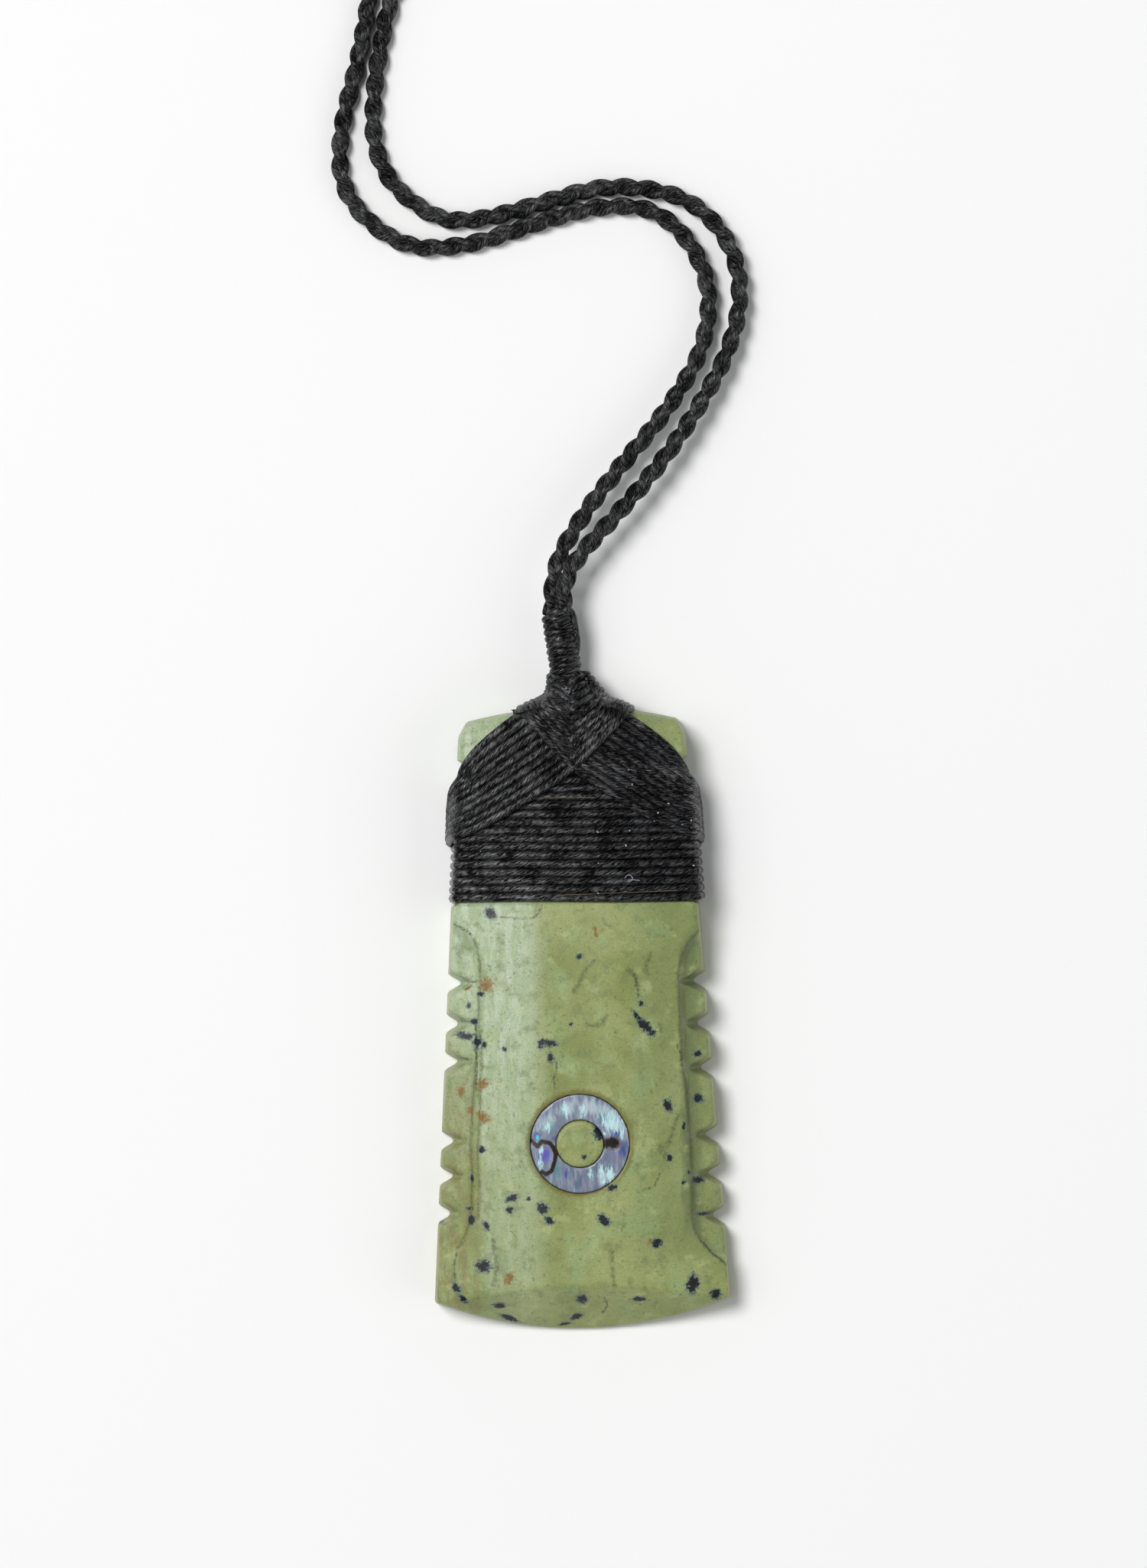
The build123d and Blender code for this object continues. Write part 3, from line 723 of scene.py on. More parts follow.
# the left flank's own milky colour, with painted sheen from the lamp on the left
milky_and_painted_sheen = layered(tree, "#9CAE86", [("#B2C0A2", (feathers, 0.4, 0.62))])
stone_layers = [
    # the ground drifts from olive to grey-green
    ("#9AA268", (noises["ground"], 0.35, 0.65)),
    ("#8EA36E", (noises["green drift"], 0.5, 0.68, 0.0, 0.7)),
    # the left flank is milky, its own colour with painted sheen from the lamp on the left, but less so at
    # the poll and by the cutting edge, and its low ledge is ochre
    (milky_and_painted_sheen, (ragged_x, -0.4, -4.4), (y, -26.0, 2.0, 0.5, 1.0), (y, 38.5, 33.0, 0.7, 1.0),
     (y, -34.5, -31.0, 0.4, 1.0), off_ledge),
    ("#7F7845", low_ledge, (feathers, 0.35, 0.65, 0.0, 0.75)),
    # the right flank is a deeper green, partly painted shade, and its ledge is darker still by the foot of
    # the
    # wall: painted shade from that wall
    ("#7C8C5E", (wandering_x, 6.6, 9.4, 0.0, 0.35), (y, -33.0, -27.0)),
    ("#5F6D44", (wandering_x, 13.3, 14.1), (wandering_x, 16.8, 15.2), (slanting_y, -5.0, -8.0),
     (y, -28.0, -24.0, 0.0, 0.65)),
    # dark clouds, pale wisps and small spots lie over all of it
    ("#6E7C4C", (noises["clouds"], 0.5, 0.32, 0.0, 0.55)),
    ("#B6BC82", (noises["wisps"], 0.55, 0.72, 0.0, 0.45)),
    ("#586844", (noises["spots"], 0.6, 0.7, 0.0, 0.5)),
]
ground = layered(tree, "#828C4E", stone_layers)
mottle = add_node(
    tree, "MapRange",
    {"Value": noises["mottle"], "From Min": 0.3, "From Max": 0.7, "To Min": 0.8, "To Max": 1.18},
)
mottled = add_node(tree, "VectorMath", {0: ground, "Scale": mottle.outputs[0]}, operation="SCALE").outputs[0]
print("Layers of the stone's ground:", len(stone_layers))

# %% Material: honed nephrite, its marks and its sheen
fine = noises["fine"]
stone_marks = [
    ("#6E6A31", "ring_shade", fine, 1.2, 0.75, 1.5, 0.75),        # painted shade round the ring, where it sits in its groove
    ("#4A4B24", "riser_shade", fine, 2.0, 1.35, 2.1, 0.6),        # painted shade at the foot of each ledge's wall, on the left partly a stain
    ("#4E5432", "vein", fine, 2.4, 1.45, 2.35, 0.65),
    ("#A59C5C", "rim", fine, 0.0, 0.4, 0.9, 0.22),          # painted glow of light through the thin outer rims
    ("#7E5600", "rust", fine, 1.8, 1.05, 1.7, 0.9),
    ("#22261A", "crack", fine, 2.0, 1.3, 2.0, 0.65),
    ("#48606C", "fleck", fine, 1.5, 0.95, 1.25, 0.65),      # the blue haze round a fleck
    ("#080E12", "fleck", fine, 1.5, 1.17, 1.4, 1.0),        # and its black heart
]
colour = marked(tree, mottled, stone_marks)
grit_bump = add_node(tree, "Bump", {"Strength": 0.35, "Distance": 0.05 * MM, "Height": noises["grit"]})
tree.links.new(colour, shader.inputs["Base Color"])
tree.links.new(grit_bump.outputs[0], shader.inputs["Normal"])
shader.inputs["Roughness"].default_value = 0.46
shader.inputs["IOR"].default_value = 1.61
shader.inputs["Specular IOR Level"].default_value = 0.32
shader.inputs["Subsurface Weight"].default_value = 0.15
shader.inputs["Subsurface Radius"].default_value = (0.9, 1.0, 0.5)
shader.inputs["Subsurface Scale"].default_value = 0.5 * MM
stone.data.materials.clear()
stone.data.materials.append(stone_finish)
settle(stone, "greenstone", "toki_blade")
print("Stone finish:", stone_finish.name)

# %% [markdown]
# ## The shell ring
#
# The ring is cut from the shell of a sea snail and polished. Its colour is not a dye: thin layers in the
# shell split the light, so silver, blue, teal and lilac lie side by side in streaks, and the brown skin
# between growth layers shows as dark bands. The streaks are noise drawn out along the blade's length,
# and the bands and patches are charted as the stone's flecks are. The longest band curves, so it is
# charted as a line. Shell is mostly lime, with a refractive index of about 1.55, and its polish gives a
# gloss that spreads a little.

# %% Shell ring
ring = dense_copy("shell_ring_inlay", "shell_ring", 0.13)
band_width = 0.42           # mm to each side of the curved band's line
left_band = [
    ((-5.9, -14.8), (-5.15, -15.55), (-4.65, -14.9), (-3.65, -15.15), (-3.2, -15.75), (-2.95, -16.6),
     (-3.15, -17.5), (-3.5, -18.55), (-4.2, -18.95), (-4.7, -18.6)),
]
ring_charts = {
    "band": [(4.0, -15.25, 0.75, 0.62, 0), (3.3, -15.3, 0.5, 0.55, 0)],
    "violet": [(-4.15, -16.6, 0.6, 1.0, 10)],
    "lilac": [(4.2, -16.8, 1.3, 0.6, 0), (0.4, -19.8, 0.3, 0.6, 0), (0.3, -10.8, 0.3, 0.8, 0),
              (-4.6, -11.7, 1.0, 0.7, 45)],
    "silver": [(1.9, -11.0, 1.6, 0.8, -20), (4.0, -12.6, 1.3, 0.9, -50), (-1.9, -11.2, 1.2, 0.8, 20),
               (-3.6, -12.4, 1.0, 0.7, 45), (3.0, -19.4, 1.0, 0.7, 30)],
    "blue": [(-5.2, -14.3, 0.6, 0.7, 0), (-5.0, -17.2, 0.4, 1.3, 0), (5.3, -16.0, 0.55, 1.1, 0),
             (4.3, -14.2, 1.0, 0.5, -15), (-3.0, -14.6, 0.5, 0.4, 0), (-1.7, -18.9, 0.3, 0.8, 0)],
    "teal": [(-2.8, -18.6, 0.7, 1.2, -12), (-3.9, -13.0, 0.9, 0.8, 0), (1.1, -19.0, 0.4, 0.6, 0),
             (3.3, -12.4, 1.2, 1.1, 0), (-1.9, -11.4, 0.5, 1.0, 0)],
    "gleam": [(-3.9, -13.1, 0.5, 0.6, 0), (-1.7, -11.2, 0.4, 1.0, 0), (0.4, -11.0, 0.3, 0.9, 0),
              (1.15, -19.0, 0.3, 0.6, 0), (2.5, -18.7, 0.3, 0.9, 0), (3.6, -19.0, 0.5, 0.9, 0),
              (2.9, -20.0, 0.6, 0.3, 0), (3.9, -12.7, 1.6, 1.2, -40), (5.2, -13.9, 0.3, 0.9, -15),
              (3.05, -14.1, 0.2, 0.3, 0), (-4.7, -16.0, 0.35, 0.4, 0), (-4.9, -17.6, 0.3, 0.9, 0)],
    "spark": [(-5.15, -14.45, 0.2, 0.3, 0)],
}
plan = plan_of(ring)
for name, chart in ring_charts.items():
    depth = marks(plan, chart)
    if name == "band":
        depth = np.maximum(depth, hairlines(plan, left_band, band_width))
    keep_value(ring, name, depth)
print("The ring has", sum(len(chart) for chart in ring_charts.values()), "charted patches of colour")

# %% Material: polished shell, its patterns
shell_finish, tree, shader = start_material("polished sea snail shell")
in_mm = places_in_mm(tree)
drawn_out = add_node(       # for streaks half a millimetre wide and over two long
    tree, "Mapping", {"Vector": in_mm, "Rotation": (0.0, 0.0, 0.12), "Scale": (1.9, 0.42, 0.4)}
).outputs[0]
broad = add_node(           # for sheets of one hue, a millimetre wide and over three long
    tree, "Mapping", {"Vector": in_mm, "Location": (7.0, 3.0, 0.0), "Scale": (0.9, 0.3, 0.4)}
).outputs[0]
shell_patterns = {          # where it is read, its features for each millimetre, its detail and roughness
    "hue": (broad, 1.0, 3.0, 0.55),
    "teal hue": (broad, 0.9, 2.0, 0.5),
    "streaks": (drawn_out, 1.0, 4.0, 0.62),
    "mauve streaks": (drawn_out, 1.7, 2.0, 0.5),
    "thin streaks": (drawn_out, 2.3, 3.0, 0.7),
    "grain": (in_mm, 3.5, 4.0, 0.7),
}
noises = {}
for name, (places, scale, detail, roughness) in shell_patterns.items():
    noise = add_node(
        tree, "TexNoise", {"Vector": places, "Scale": scale, "Detail": detail, "Roughness": roughness}
    )
    noises[name] = noise.outputs["Fac"]
print("Patterns of the shell:", ", ".join(noises))

# %% Material: polished shell, its layers and its marks
nacre = layered(tree, "#59687F", [
    ("#767A90", (noises["hue"], 0.36, 0.6)),
    ("#6A868F", (noises["teal hue"], 0.52, 0.66, 0.0, 0.6)),
    ("#9EA8B6", (noises["streaks"], 0.42, 0.68, 0.0, 0.8)),
    ("#877F94", (noises["mauve streaks"], 0.52, 0.66, 0.0, 0.6)),
])
thin_streaks, grain = noises["thin streaks"], noises["grain"]
shell_marks = [
    ("#B6C8CE", "silver", noises["streaks"], 1.6, 1.0, 1.6, 0.75),
    ("#7C78A0", "lilac", thin_streaks, 1.4, 1.05, 1.6, 0.5),
    ("#4C8088", "teal", thin_streaks, 1.6, 1.1, 1.75, 0.8),
    ("#2E4490", "blue", thin_streaks, 1.2, 0.95, 1.5, 0.85),
    ("#5243B4", "violet", thin_streaks, 1.4, 1.0, 1.55, 0.85),
    ("#BFE4E6", "gleam", thin_streaks, 2.6, 1.62, 2.25, 0.95),
    ("#3FC4DC", "spark", thin_streaks, 0.0, 0.2, 0.8, 1.0),
    ("#5E4026", "band", grain, 0.5, 0.42, 0.8, 0.9),
    ("#120D0C", "band", grain, 0.6, 0.62, 0.95, 1.0),
]
tree.links.new(marked(tree, nacre, shell_marks), shader.inputs["Base Color"])
shader.inputs["Roughness"].default_value = 0.3
shader.inputs["IOR"].default_value = 1.55
ring.data.materials.clear()
ring.data.materials.append(shell_finish)
settle(ring, "shell", "shell_ring")
print("Shell finish:", shell_finish.name)

# %% [markdown]
# ## The binding
#
# The thread first runs round the blade in level turns, one long helix that climbs one thread's thickness
# a turn. Its line is taken from the solid band: the band is sliced across at its two ends, each slice
# gives an outline, and the helix blends from one to the other as it climbs.

# %% Binding: slices of the band
thread = 1.0                # mm thick
turn_points = 120
back_height = 2.0           # mm above the table, below which an outline runs along the blade's back
smoothings = 3              # of a thread's line, which can't follow a sharp corner


def from_the_back(points):
    """The same closed outline, counted from the middle of the blade's back."""
    from_middle = np.where(points[:, 1] > back_height, np.inf, np.abs(points[:, 0]))
    return np.roll(points, -int(np.argmin(from_middle)), axis=0)


def slice_outline(node, y):
    """The outline of a solid where a plane across Y cuts it, as corners (x, z) in mm."""
    shape = merged_solid(node)
    bmesh.ops.bisect_plane(
        shape, geom=[*shape.verts, *shape.edges, *shape.faces], plane_co=(0.0, y * MM, 0.0),
        plane_no=(0.0, 1.0, 0.0), clear_inner=True, clear_outer=True,
    )
    corner = max(shape.verts, key=lambda vertex: abs(vertex.co.x))
    outline = [corner]
    last = None
    while True:
        edge = next((e for e in outline[-1].link_edges if e is not last), None)
        if edge is None:
            break
        last = edge
        ahead = edge.other_vert(outline[-1])
        if ahead is corner:
            break
        outline.append(ahead)
    points = np.array([(vertex.co.x, vertex.co.z) for vertex in outline]) / MM
    shape.free()
    area = np.sum(points[:, 0] * np.roll(points[:, 1], -1) - np.roll(points[:, 0], -1) * points[:, 1])
    return from_the_back(points[::-1] if area > 0 else points)


def thread_outline(node, y, inset):
    """The line of a thread's middle round a solid, clear of sharp corners."""
    points = slice_outline(node, y)
    closed = np.vstack([points, points[:1]])
    flat = np.column_stack([closed[:, 0], np.zeros(len(closed)), closed[:, 1]])
    total = np.linalg.norm(np.diff(flat, axis=0), axis=1).sum()
    even = from_the_back(spaced(flat, total / turn_points)[:turn_points, (0, 2)])
    ahead = np.roll(even, -1, axis=0) - np.roll(even, 1, axis=0)
    ahead /= np.linalg.norm(ahead, axis=1, keepdims=True)
    inward = np.column_stack([ahead[:, 1], -ahead[:, 0]])
    line = even + inward * inset
    for _ in range(smoothings):
        line = (np.roll(line, 1, axis=0) + 2 * line + np.roll(line, -1, axis=0)) / 4
    return line


low_y, high_y = 14.2, 31.2      # where the band is sliced
low_line = thread_outline("binding_band", low_y, thread / 2)
high_line = thread_outline("binding_band", high_y, thread / 2)
print("The thread's line is", np.round(np.ptp(low_line, axis=0), 2), "mm across at the first turn")

# %% Binding: level turns
turn_pitch = 1.03
turn_count = 16
first_turn = 14.14          # Y of the thread's middle where the first turn starts, on the back
last_turn = first_turn + turn_pitch * turn_count
lowest_turn = 14.5          # Y that no turn slopes below
tuck_depth = 0.7            # mm that a thread's end dives under
tuck_steps = 8              # points of the line over which it does so
sag_from = 23.5             # Y above which the slanting threads press the turns down at the sides
side_sag = 2.6              # mm that they press the last turn down there
half_width = 14.6           # of the bound blade
front_slope = 0.028         # how much the lowest turns slope down to the right
slope_lost = 0.6            # the share of that slope that is gone at the top
wavers = ((0.06, 3.02, 0.0), (0.05, 0.173, 1.0))    # mm, waves for each turn, and where each one starts
band_spread, band_shift = 1.012, 0.25               # the turns stand out a little, most of all on the right
level_thickness = 1.1       # of a thread that is pressed flat against its neighbours


def sag(x, y):
    """How far a level turn is pressed down at a place across the blade."""
    share = np.clip((y - sag_from) / (last_turn - sag_from), 0, 1)
    return side_sag * share * np.abs(x / half_width) ** 3


def level_turns():
    """The middle line of the level turns, a helix that follows the blade's outline."""
    steps = np.arange(turn_count * turn_points + 1)
    y = first_turn + turn_pitch * steps / turn_points
    share = ((y - low_y) / (high_y - low_y))[:, None]
    outline = low_line[steps % turn_points] * (1 - share) + high_line[steps % turn_points] * share
    x, z = outline.T
    ends = np.minimum(steps, steps[-1] - steps)
    dive = tuck_depth * np.clip(1 - ends / tuck_steps, 0, 1) ** 2
    angle = 2 * math.pi * steps / turn_points
    y = y - sag(x, y)
    for size, pace, start in wavers:
        y = y + size * np.sin(angle * pace + start)
    y = np.maximum(y - front_slope * x * (1 - slope_lost * share[:, 0]), lowest_turn)
    return np.column_stack([x * band_spread + band_shift, y, z + dive])


level_piece = gathered("binding_level_turns", [tube(level_turns(), level_thickness)], thread_finish)
settle(level_piece, "waxed_thread", "binding_band")

# %% [markdown]
# The slanting threads come next. Each starts low on one side of the blade, crosses the front, passes the
# middle line and goes over the head, just beside the neck. A thread from the left lies over the one from
# the right, which lies over the next from the left, so a herringbone forms on the middle line. Seen
# thread by thread, that is simple: each lies low until the middle line and high beyond it. Heights are
# found by dropping a point onto the solids beneath, as a plumb line would.

# %% Binding: heights above the solids
def skin_of(*pieces):
    """The surface of some pieces in mm, for dropping points onto."""
    shape = bmesh.new()
    for piece in pieces:
        shape.from_mesh(piece.data)
    bmesh.ops.scale(shape, vec=(1 / MM, 1 / MM, 1 / MM), verts=shape.verts)
    skin = BVHTree.FromBMesh(shape)
    shape.free()
    return skin


stone_skin = skin_of(nodes["toki_blade"])
crown_skin = skin_of(nodes["binding_crown"])
clear_height = 30.0         # mm, a height above everything
clear_width = 40.0          # mm from the middle line, beyond everything
nest = 0.42                 # height of a thread's middle over what it lies on, pressed in a little
layer_rise = 0.88           # from one layer of thread to the next
step_down = 0.7             # mm over which a thread comes down from the last level turn to the stone


def dropped(skin, x, y):
    """Where a plumb line meets a skin from above, or nothing where it misses."""
    return skin.ray_cast(Vector((x, y, clear_height)), Vector((0.0, 0.0, -1.0)))[0]


def turns_under(x, y):
    """How much the level turns add to the stone at a place: a whole thread, or nothing beyond them."""
    edge = last_turn + thread / 2 - side_sag * abs(x / half_width) ** 3
    return thread * min(1.0, max(0.0, (edge - y) / step_down))


def height_at(x, y, level):
    """Height of a thread's middle at a place on the plan, in the low layer or the high one."""
    found = []
    stone_hit = dropped(stone_skin, x, y)
    if stone_hit is not None:
        found.append(stone_hit.z + turns_under(x, y) + nest + level * layer_rise)
    crown_hit = dropped(crown_skin, x, y)
    if crown_hit is not None:
        found.append(crown_hit.z - thread / 2 - (1 - level) * layer_rise)
    return max(found) if found else None


def beside(hand, y, z, lift):
    """A thread's middle at a height on the blade's side."""
    hit = stone_skin.ray_cast(Vector((hand * clear_width, y, z)), Vector((-hand, 0.0, 0.0)))[0]
    return (hit.x + hand * (turns_under(hit.x, y) + lift), y, z)


print("A low thread's middle at the first crossing is", round(height_at(-0.5, 31.0, 0), 2), "mm up")

# %% Binding: the places of the slanting threads
# For each thread: where it turns over the blade's edge, where it crosses the middle line, and the place
# beside the neck where it goes over the head. Hand -1 is for those from the left, 1 for those from the
# right.
thread_count = 10
edge_places = {             # where the lowest and the highest turn over the edge
    -1: ((-14.35, 22.5), (-13.45, 30.5)),
    1: ((14.45, 22.2), (13.55, 30.3)),
}
side_drops = (              # height on the blade's side, and how far the lowest and the highest have dropped
    (6.0, 0.25, 1.0), (4.8, 0.45, 2.4), (3.4, 0.6, 3.8), (2.0, 0.8, 5.0), (1.2, 0.9, 5.4),
)
side_lift = {-1: 0.2, 1: 0.4}           # of a thread's middle over what it lies on there
alternate_lift = 0.12                   # more, for every other thread
side_tuck, tuck_drop = -0.5, 0.2        # mm out and down from there to its end, which is tucked in
edge_inset, edge_drop = 1.5, 0.25       # mm inside the edge and mm under the height that is found there
first_bend, last_bend = 1.25, 0.74      # how the lowest and the highest bend on their way to the middle
first_meet, last_meet = (0.1, 30.55), (-0.2, 40.9)
crossing_level = {-1: 0.55, 1: 0.4}     # where each is between the low layer and the high one as they cross
head_places = {
    1: [(7.3, 37.6), (6.8, 37.9), (6.2, 38.2), (5.6, 38.4), (5.0, 38.6),
        (4.3, 39.1), (3.75, 39.8), (3.15, 40.5), (2.6, 41.2), (2.05, 41.8)],
    -1: [(-6.3, 37.8), (-5.5, 38.2), (-4.8, 38.5), (-4.2, 38.7), (-3.8, 38.9),
         (-3.3, 39.2), (-2.95, 39.7), (-2.75, 40.3), (-2.65, 41.0), (-2.6, 41.6)],
}
neck_foot = np.array((-0.5, 41.7, 4.6))     # where the neck's axis leaves the head
head_from = 38.0            # Y from which the head leans over to the neck's foot
crown_top = 41.5            # Y up to which a plumb line meets the crown
least_fullness, more_fullness = 0.25, 0.12      # how round the lowest goes over, and more for each next one
back_count = 7              # of them that go on down the back. The last three are tucked under the neck
back_meet = 32.0            # Y where the lowest of them meet on the back
back_pitch = 0.8            # mm from each meeting to the next
back_level = 0.55           # mm above the table
print("Slanting threads:", 2 * thread_count)

# %% Binding: the guides of a slanting thread
def between(first, last, share):
    """A value, or a place, part of the way from one to another."""
    return np.asarray(first) * (1 - share) + np.asarray(last) * share


def slanting_thread(hand, number):
    """The guides of one slanting thread, from its tuck at the side to its tuck at the back."""
    rank = number / (thread_count - 1)
    edge_x, edge_y = between(*edge_places[hand], rank)
    lowest, *last_drops = side_drops[-1]
    guides = [beside(hand, edge_y - between(*last_drops, rank) - tuck_drop, lowest, side_tuck)]
    for z, low_drop, high_drop in reversed(side_drops):
        lift = side_lift[hand] + alternate_lift * (number % 2)
        guides.append(beside(hand, edge_y - between(low_drop, high_drop, rank), z, lift))
    edge_z = height_at(edge_x - hand * edge_inset, edge_y, 0) - edge_drop
    guides.append((edge_x, edge_y, edge_z))
    meet_x, meet_y = between(first_meet, last_meet, rank)
    bend = between(first_bend, last_bend, rank)
    for share in (0.1, 0.2, 0.34, 0.48, 0.62, 0.76, 0.89):
        x = edge_x + share * (meet_x - edge_x)
        y = edge_y + share ** bend * (meet_y - edge_y)
        guides.append((x, y, height_at(x, y, 0)))
    guides.append((meet_x, meet_y, height_at(meet_x, meet_y, crossing_level[hand])))
    head_x, head_y = head_places[-hand][number]
    for share in (0.2, 0.4, 0.6, 0.8):
        x = meet_x + share * (head_x - meet_x)
        y = meet_y + share * (head_y - meet_y)
        guides.append((x, y, height_at(x, y, 1)))
    guides = [guide for guide in guides if guide[2] is not None]
    return guides + over_the_head(head_x, head_y, number)


def over_the_head(head_x, head_y, number):
    """From the front, round beside the neck's foot and onto the back."""
    foot_x, foot_y, level = neck_foot
    axis_x = foot_x * min(1.0, max(0.0, (head_y - head_from) / (foot_y - head_from)))
    depth = dropped(crown_skin, axis_x, min(head_y, crown_top)).z - level
    fullness = min(1.0, least_fullness + more_fullness * number)
    guides = []
    for angle in (48, 25, 0, -25, -48):
        slope = math.radians(angle)
        x = axis_x + (head_x - axis_x) * math.cos(slope) ** fullness
        guides.append((x, head_y, level + (depth - thread / 2) * math.sin(slope)))
    if number >= back_count:
        return guides + [(axis_x + 0.4 * (head_x - axis_x), head_y, level - depth + thread / 2)]
    meet_y = back_meet + back_pitch * number
    guides.append((head_x, head_y - 0.2, 0.9))
    for share in (0.2, 0.6, 0.95):
        y = head_y - 0.4 + share * (meet_y - head_y + 0.4)
        guides.append((head_x * (1 - share), y, back_level))
    guides.append((0.0, meet_y, back_level + tuck_depth))
    return guides


print("The highest thread has", len(slanting_thread(-1, thread_count - 1)), "guides")

# %% Binding: slanting threads
slanting_thickness = 1.02
slanting_step = 0.45        # mm from point to point of the line
hand_offset, number_offset = 17.0, 41.0     # mm by which one thread's fibres are shifted from another's
slanting = []
for number in range(thread_count):
    for hand in (-1, 1):
        line = spaced(smooth_line(slanting_thread(hand, number)), slanting_step)
        shift = hand * hand_offset + number * number_offset
        slanting.append(tube(line, slanting_thickness, first=shift))
slanting_piece = gathered("binding_slanting_threads", slanting, thread_finish)
settle(slanting_piece, "waxed_thread", "binding_left_wrap", "binding_right_wrap")

# %% [markdown]
# Under the crossing threads there are more layers of thread that the eye doesn't reach. They needn't be
# made one by one. The crown's own solid, with its skin drawn in by half a millimetre, fills the head, so
# that no light comes through between the threads on top.

# %% Binding: what lies under the crown
core_shrink = 0.5           # mm
shape = merged_solid("binding_crown")
shape.normal_update()
for vertex in shape.verts:
    vertex.co -= vertex.normal * core_shrink * MM
core_mesh = bpy.data.meshes.new("crown_core")
shape.to_mesh(core_mesh)
shape.free()
core_mesh.uv_layers.new(name="UVMap")
core_mesh.materials.append(thread_finish)
settle(in_scene("crown_core", core_mesh), "waxed_thread", "binding_crown")
print("Crown core:", len(core_mesh.polygons), "faces")

# %% [markdown]
# ## The neck
#
# Above the head the thread is wound round both cords, turn against turn, and its end is left as a short
# tail along the right side. The winding is a helix round the neck's own axis, which leans a little left.
# A plain tube fills the inside, where the real neck has the two cords.

# %% Neck: its axis and its thread
neck_lean = math.radians(7.6)
neck_ahead = np.array((-math.sin(neck_lean), math.cos(neck_lean), 0.0))
neck_right = np.array((math.cos(neck_lean), math.sin(neck_lean), 0.0))
neck_up = np.array((0.0, 0.0, 1.0))
neck_length = 8.0
neck_thickness = 4.05       # over the winding
neck_thread = 1.0
neck_pitch = 0.8
neck_radius = neck_thickness / 2 - neck_thread / 2
winding_start = 0.35        # mm along the neck
winding_end = 0.1           # mm short of the neck's end
points_per_turn = 24
end_dip = 0.5               # mm that the winding's ends dive in
end_share = 0.2             # of a turn, over which they do so
unevenness, unevenness_pace = 0.03, 2.3     # mm, and radians of its wave for each turn


def round_the_neck(along, angle, radius):
    """A point so far along the neck's axis, round it and out from it."""
    outward = neck_right * math.cos(angle) + neck_up * math.sin(angle)
    return neck_foot + neck_ahead * along + outward * radius


steps = np.arange(0.0, (neck_length - winding_start - winding_end) / neck_pitch, 1 / points_per_turn)
winding = []
for turns in steps:
    ends = min(turns, steps[-1] - turns)
    radius = neck_radius - end_dip * max(0.0, 1 - ends / end_share)
    radius += unevenness * math.sin(turns * unevenness_pace)
    winding.append(round_the_neck(winding_start + turns * neck_pitch, 2 * math.pi * turns, radius))
print("The neck is wound", round(steps[-1], 1), "times")

# %% Neck: its tail and its filling
tail_thickness = 0.8        # of the loose end, which lies pressed to the winding
tail_places = (             # mm along the neck, degrees round it from its right, mm from its axis
    (7.6, 75, 1.3), (8.1, 45, 1.85), (7.6, 22, 2.0), (6.2, 16, 2.0),
    (5.0, 14, 2.0), (3.9, 12, 1.95), (2.9, 8, 1.7),
)
tail_step = 0.3             # mm from point to point of the line
tail = [round_the_neck(along, math.radians(angle), radius) for along, angle, radius in tail_places]
filling_places = (-1.5, 4.0, 7.6)       # mm along the neck, from inside the head
filling_thickness = 2 * neck_radius + 0.55      # which reaches into the hollows between the turns
filling = np.array([neck_foot + neck_ahead * along for along in filling_places])
neck_piece = gathered(
    "neck_winding",
    [
        tube(np.array(winding), neck_thread),
        tube(spaced(smooth_line(tail), tail_step), tail_thickness),
        tube(filling, filling_thickness, rings=4),
    ],
    thread_finish,
)
settle(neck_piece, "waxed_thread", "cord_whipping")

# %% [markdown]
# Wax holds dust, so a worn binding is never quite clean. A few pale specks lie on it here, most of them on
# the right, with a curl of lint and two straw-coloured fibres along the level turns. Each is dropped onto
# the finished threads.

# %% Dust and lint: where they lie
dust_places = [
    (6.8, 30.1), (7.2, 28.3), (6.5, 28.0), (10.3, 24.8), (9.8, 23.8), (13.2, 23.3), (14.3, 23.8),
    (14.3, 22.9), (6.8, 22.7), (2.9, 22.6), (9.5, 21.6), (6.3, 20.9), (2.9, 18.8), (-11.4, 20.5),
    (14.5, 18.3), (6.1, 15.3), (2.8, 15.2), (-0.6, 40.2), (-1.1, 39.1), (11.6, 25.9), (5.2, 26.4),
    (8.9, 18.1),
]
curl_places = [
    (6.1, 16.9), (6.3, 17.3), (6.8, 17.3), (7.1, 16.9), (6.8, 16.5), (6.4, 16.5), (6.6, 16.8), (7.9, 16.6),
]
fibre_ends = [((-4.7, 26.9), (2.7, 26.8)), ((-2.2, 15.0), (12.4, 15.3))]
fibre_points = 40
thread_skin = skin_of(level_piece, slanting_piece, neck_piece)


def on_threads(x, y, lift):
    """A place on top of the threads."""
    return Vector((x, y, dropped(thread_skin, x, y).z + lift))


print("Specks:", len(dust_places), "and fibres:", 1 + len(fibre_ends))

# %% Material: dust and stray fibres, matt
def lint_material(name, dark, light):
    """Dust and stray fibres are matt, uneven, and paler than anything they lie on."""
    material, tree, shader = start_material(name)
    spots = add_node(tree, "TexNoise", {"Vector": places_in_mm(tree), "Scale": 2.5})
    tint = add_node(
        tree, "Mix", {"Factor": spots.outputs["Fac"], 6: linear(dark), 7: linear(light)}, data_type="RGBA"
    )
    tree.links.new(tint.outputs[2], shader.inputs["Base Color"])
    shader.inputs["Roughness"].default_value = 0.9
    return material


dust_finish = lint_material("pale dust", "#8F9398", "#C2C6CA")
lint_finish = lint_material("cotton lint", "#74767A", "#A8AAAE")
straw_finish = lint_material("straw-coloured fibre", "#524835", "#786B4F")
print("Materials:", dust_finish.name + ",", lint_finish.name, "and", straw_finish.name)

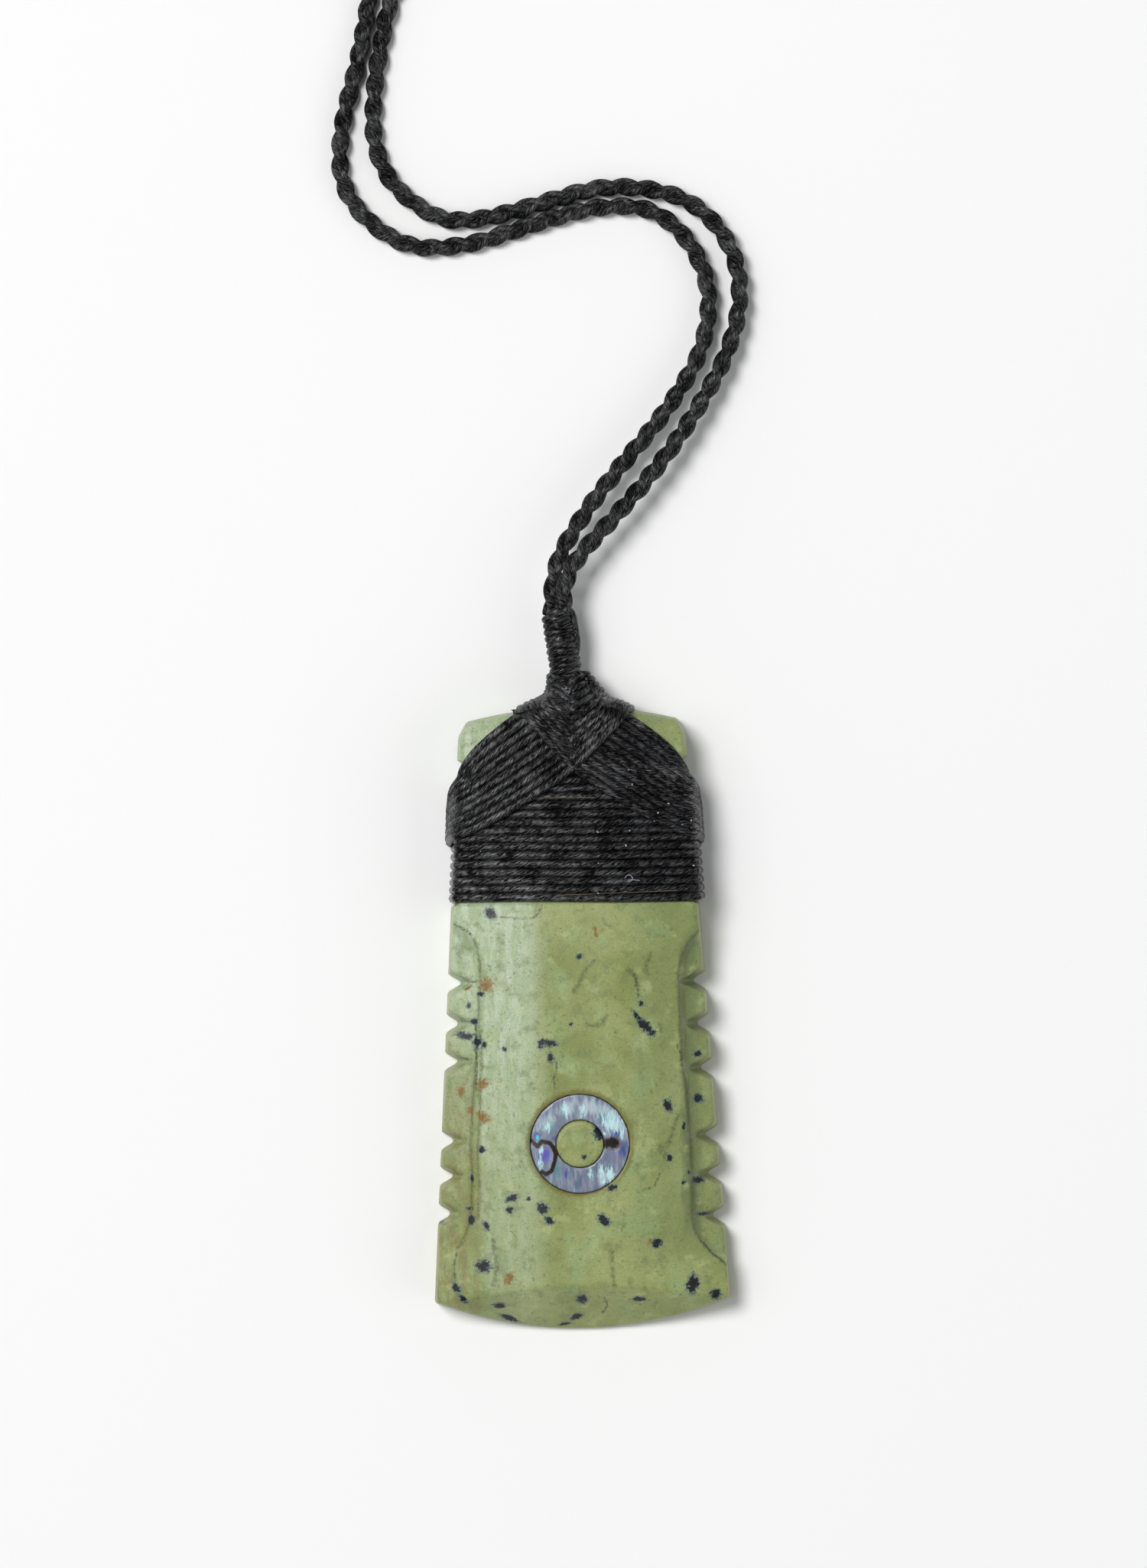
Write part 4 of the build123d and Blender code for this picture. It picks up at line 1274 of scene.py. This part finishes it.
# %% Dust and lint
speck_size, speck_spread = 0.09, 0.035      # mm, a speck's radius and how much that differs
size_pace, turn_pace = 2.4, 1.3             # radians from each speck to the next, for its size and its turn
speck_shape = (1.5, 0.9, 0.6)               # a speck is longer than wide, and flat
speck_lift, fibre_lift = 0.03, 0.02         # mm from the threads to the middle of a speck or a fibre
curl_thickness, fibre_thickness = 0.1, 0.08

shape = bmesh.new()
for number, (x, y) in enumerate(dust_places):
    size = speck_size + speck_spread * math.sin(number * size_pace)
    speck = bmesh.ops.create_icosphere(shape, subdivisions=1, radius=size)["verts"]
    bmesh.ops.scale(shape, vec=speck_shape, verts=speck)
    bmesh.ops.rotate(shape, verts=speck, matrix=Matrix.Rotation(number * turn_pace, 3, "Z"))
    bmesh.ops.translate(shape, vec=on_threads(x, y, speck_lift), verts=speck)
bmesh.ops.scale(shape, vec=(MM, MM, MM), verts=shape.verts)
dust_mesh = bpy.data.meshes.new("dust")
shape.to_mesh(dust_mesh)
shape.free()
dust_piece = gathered("dust_specks", [dust_mesh], dust_finish)
curl = tube(smooth_line([on_threads(x, y, curl_thickness) for x, y in curl_places]), curl_thickness)
curl_piece = gathered("lint_curl", [curl], lint_finish)
fibres = []
for start, end in fibre_ends:
    line = [on_threads(x, y, fibre_lift) for x, y in np.linspace(start, end, fibre_points)]
    fibres.append(tube(np.array(line), fibre_thickness))
fibre_piece = gathered("straw_fibres", fibres, straw_finish)
for piece in (dust_piece, curl_piece, fibre_piece):
    settle(piece, "waxed_thread")

# %% [markdown]
# The barrel that joins the cords is plain moulded nylon. Its mould was blasted with grit, so a fine, even
# grain breaks up its sheen, and handling has polished it here and there. The grain is drawn a sixth of
# a millimetre wide, coarser than it is, so that it can show.

# %% Material: moulded black nylon
closure_finish, tree, shader = start_material("moulded nylon, black")
in_mm = places_in_mm(tree)
blasted = add_node(tree, "TexNoise", {"Vector": in_mm, "Scale": 6.0, "Detail": 2.0, "Roughness": 0.6})
handled = add_node(tree, "TexNoise", {"Vector": in_mm, "Scale": 0.35, "Detail": 3.0, "Roughness": 0.6})
colour = layered(tree, "#101011", [("#1F1F21", (blasted.outputs["Fac"], 0.35, 0.65))])
roughness = zone(tree, (handled.outputs["Fac"], 0.4, 0.65, 0.42, 0.58))
grain_bump = add_node(
    tree, "Bump", {"Strength": 0.5, "Distance": 0.04 * MM, "Height": blasted.outputs["Fac"]}
)
tree.links.new(colour, shader.inputs["Base Color"])
tree.links.new(roughness, shader.inputs["Roughness"])
tree.links.new(grain_bump.outputs[0], shader.inputs["Normal"])
nodes["cord_closure"].material_slots[0].material = closure_finish
print("Closure finish:", closure_finish.name)
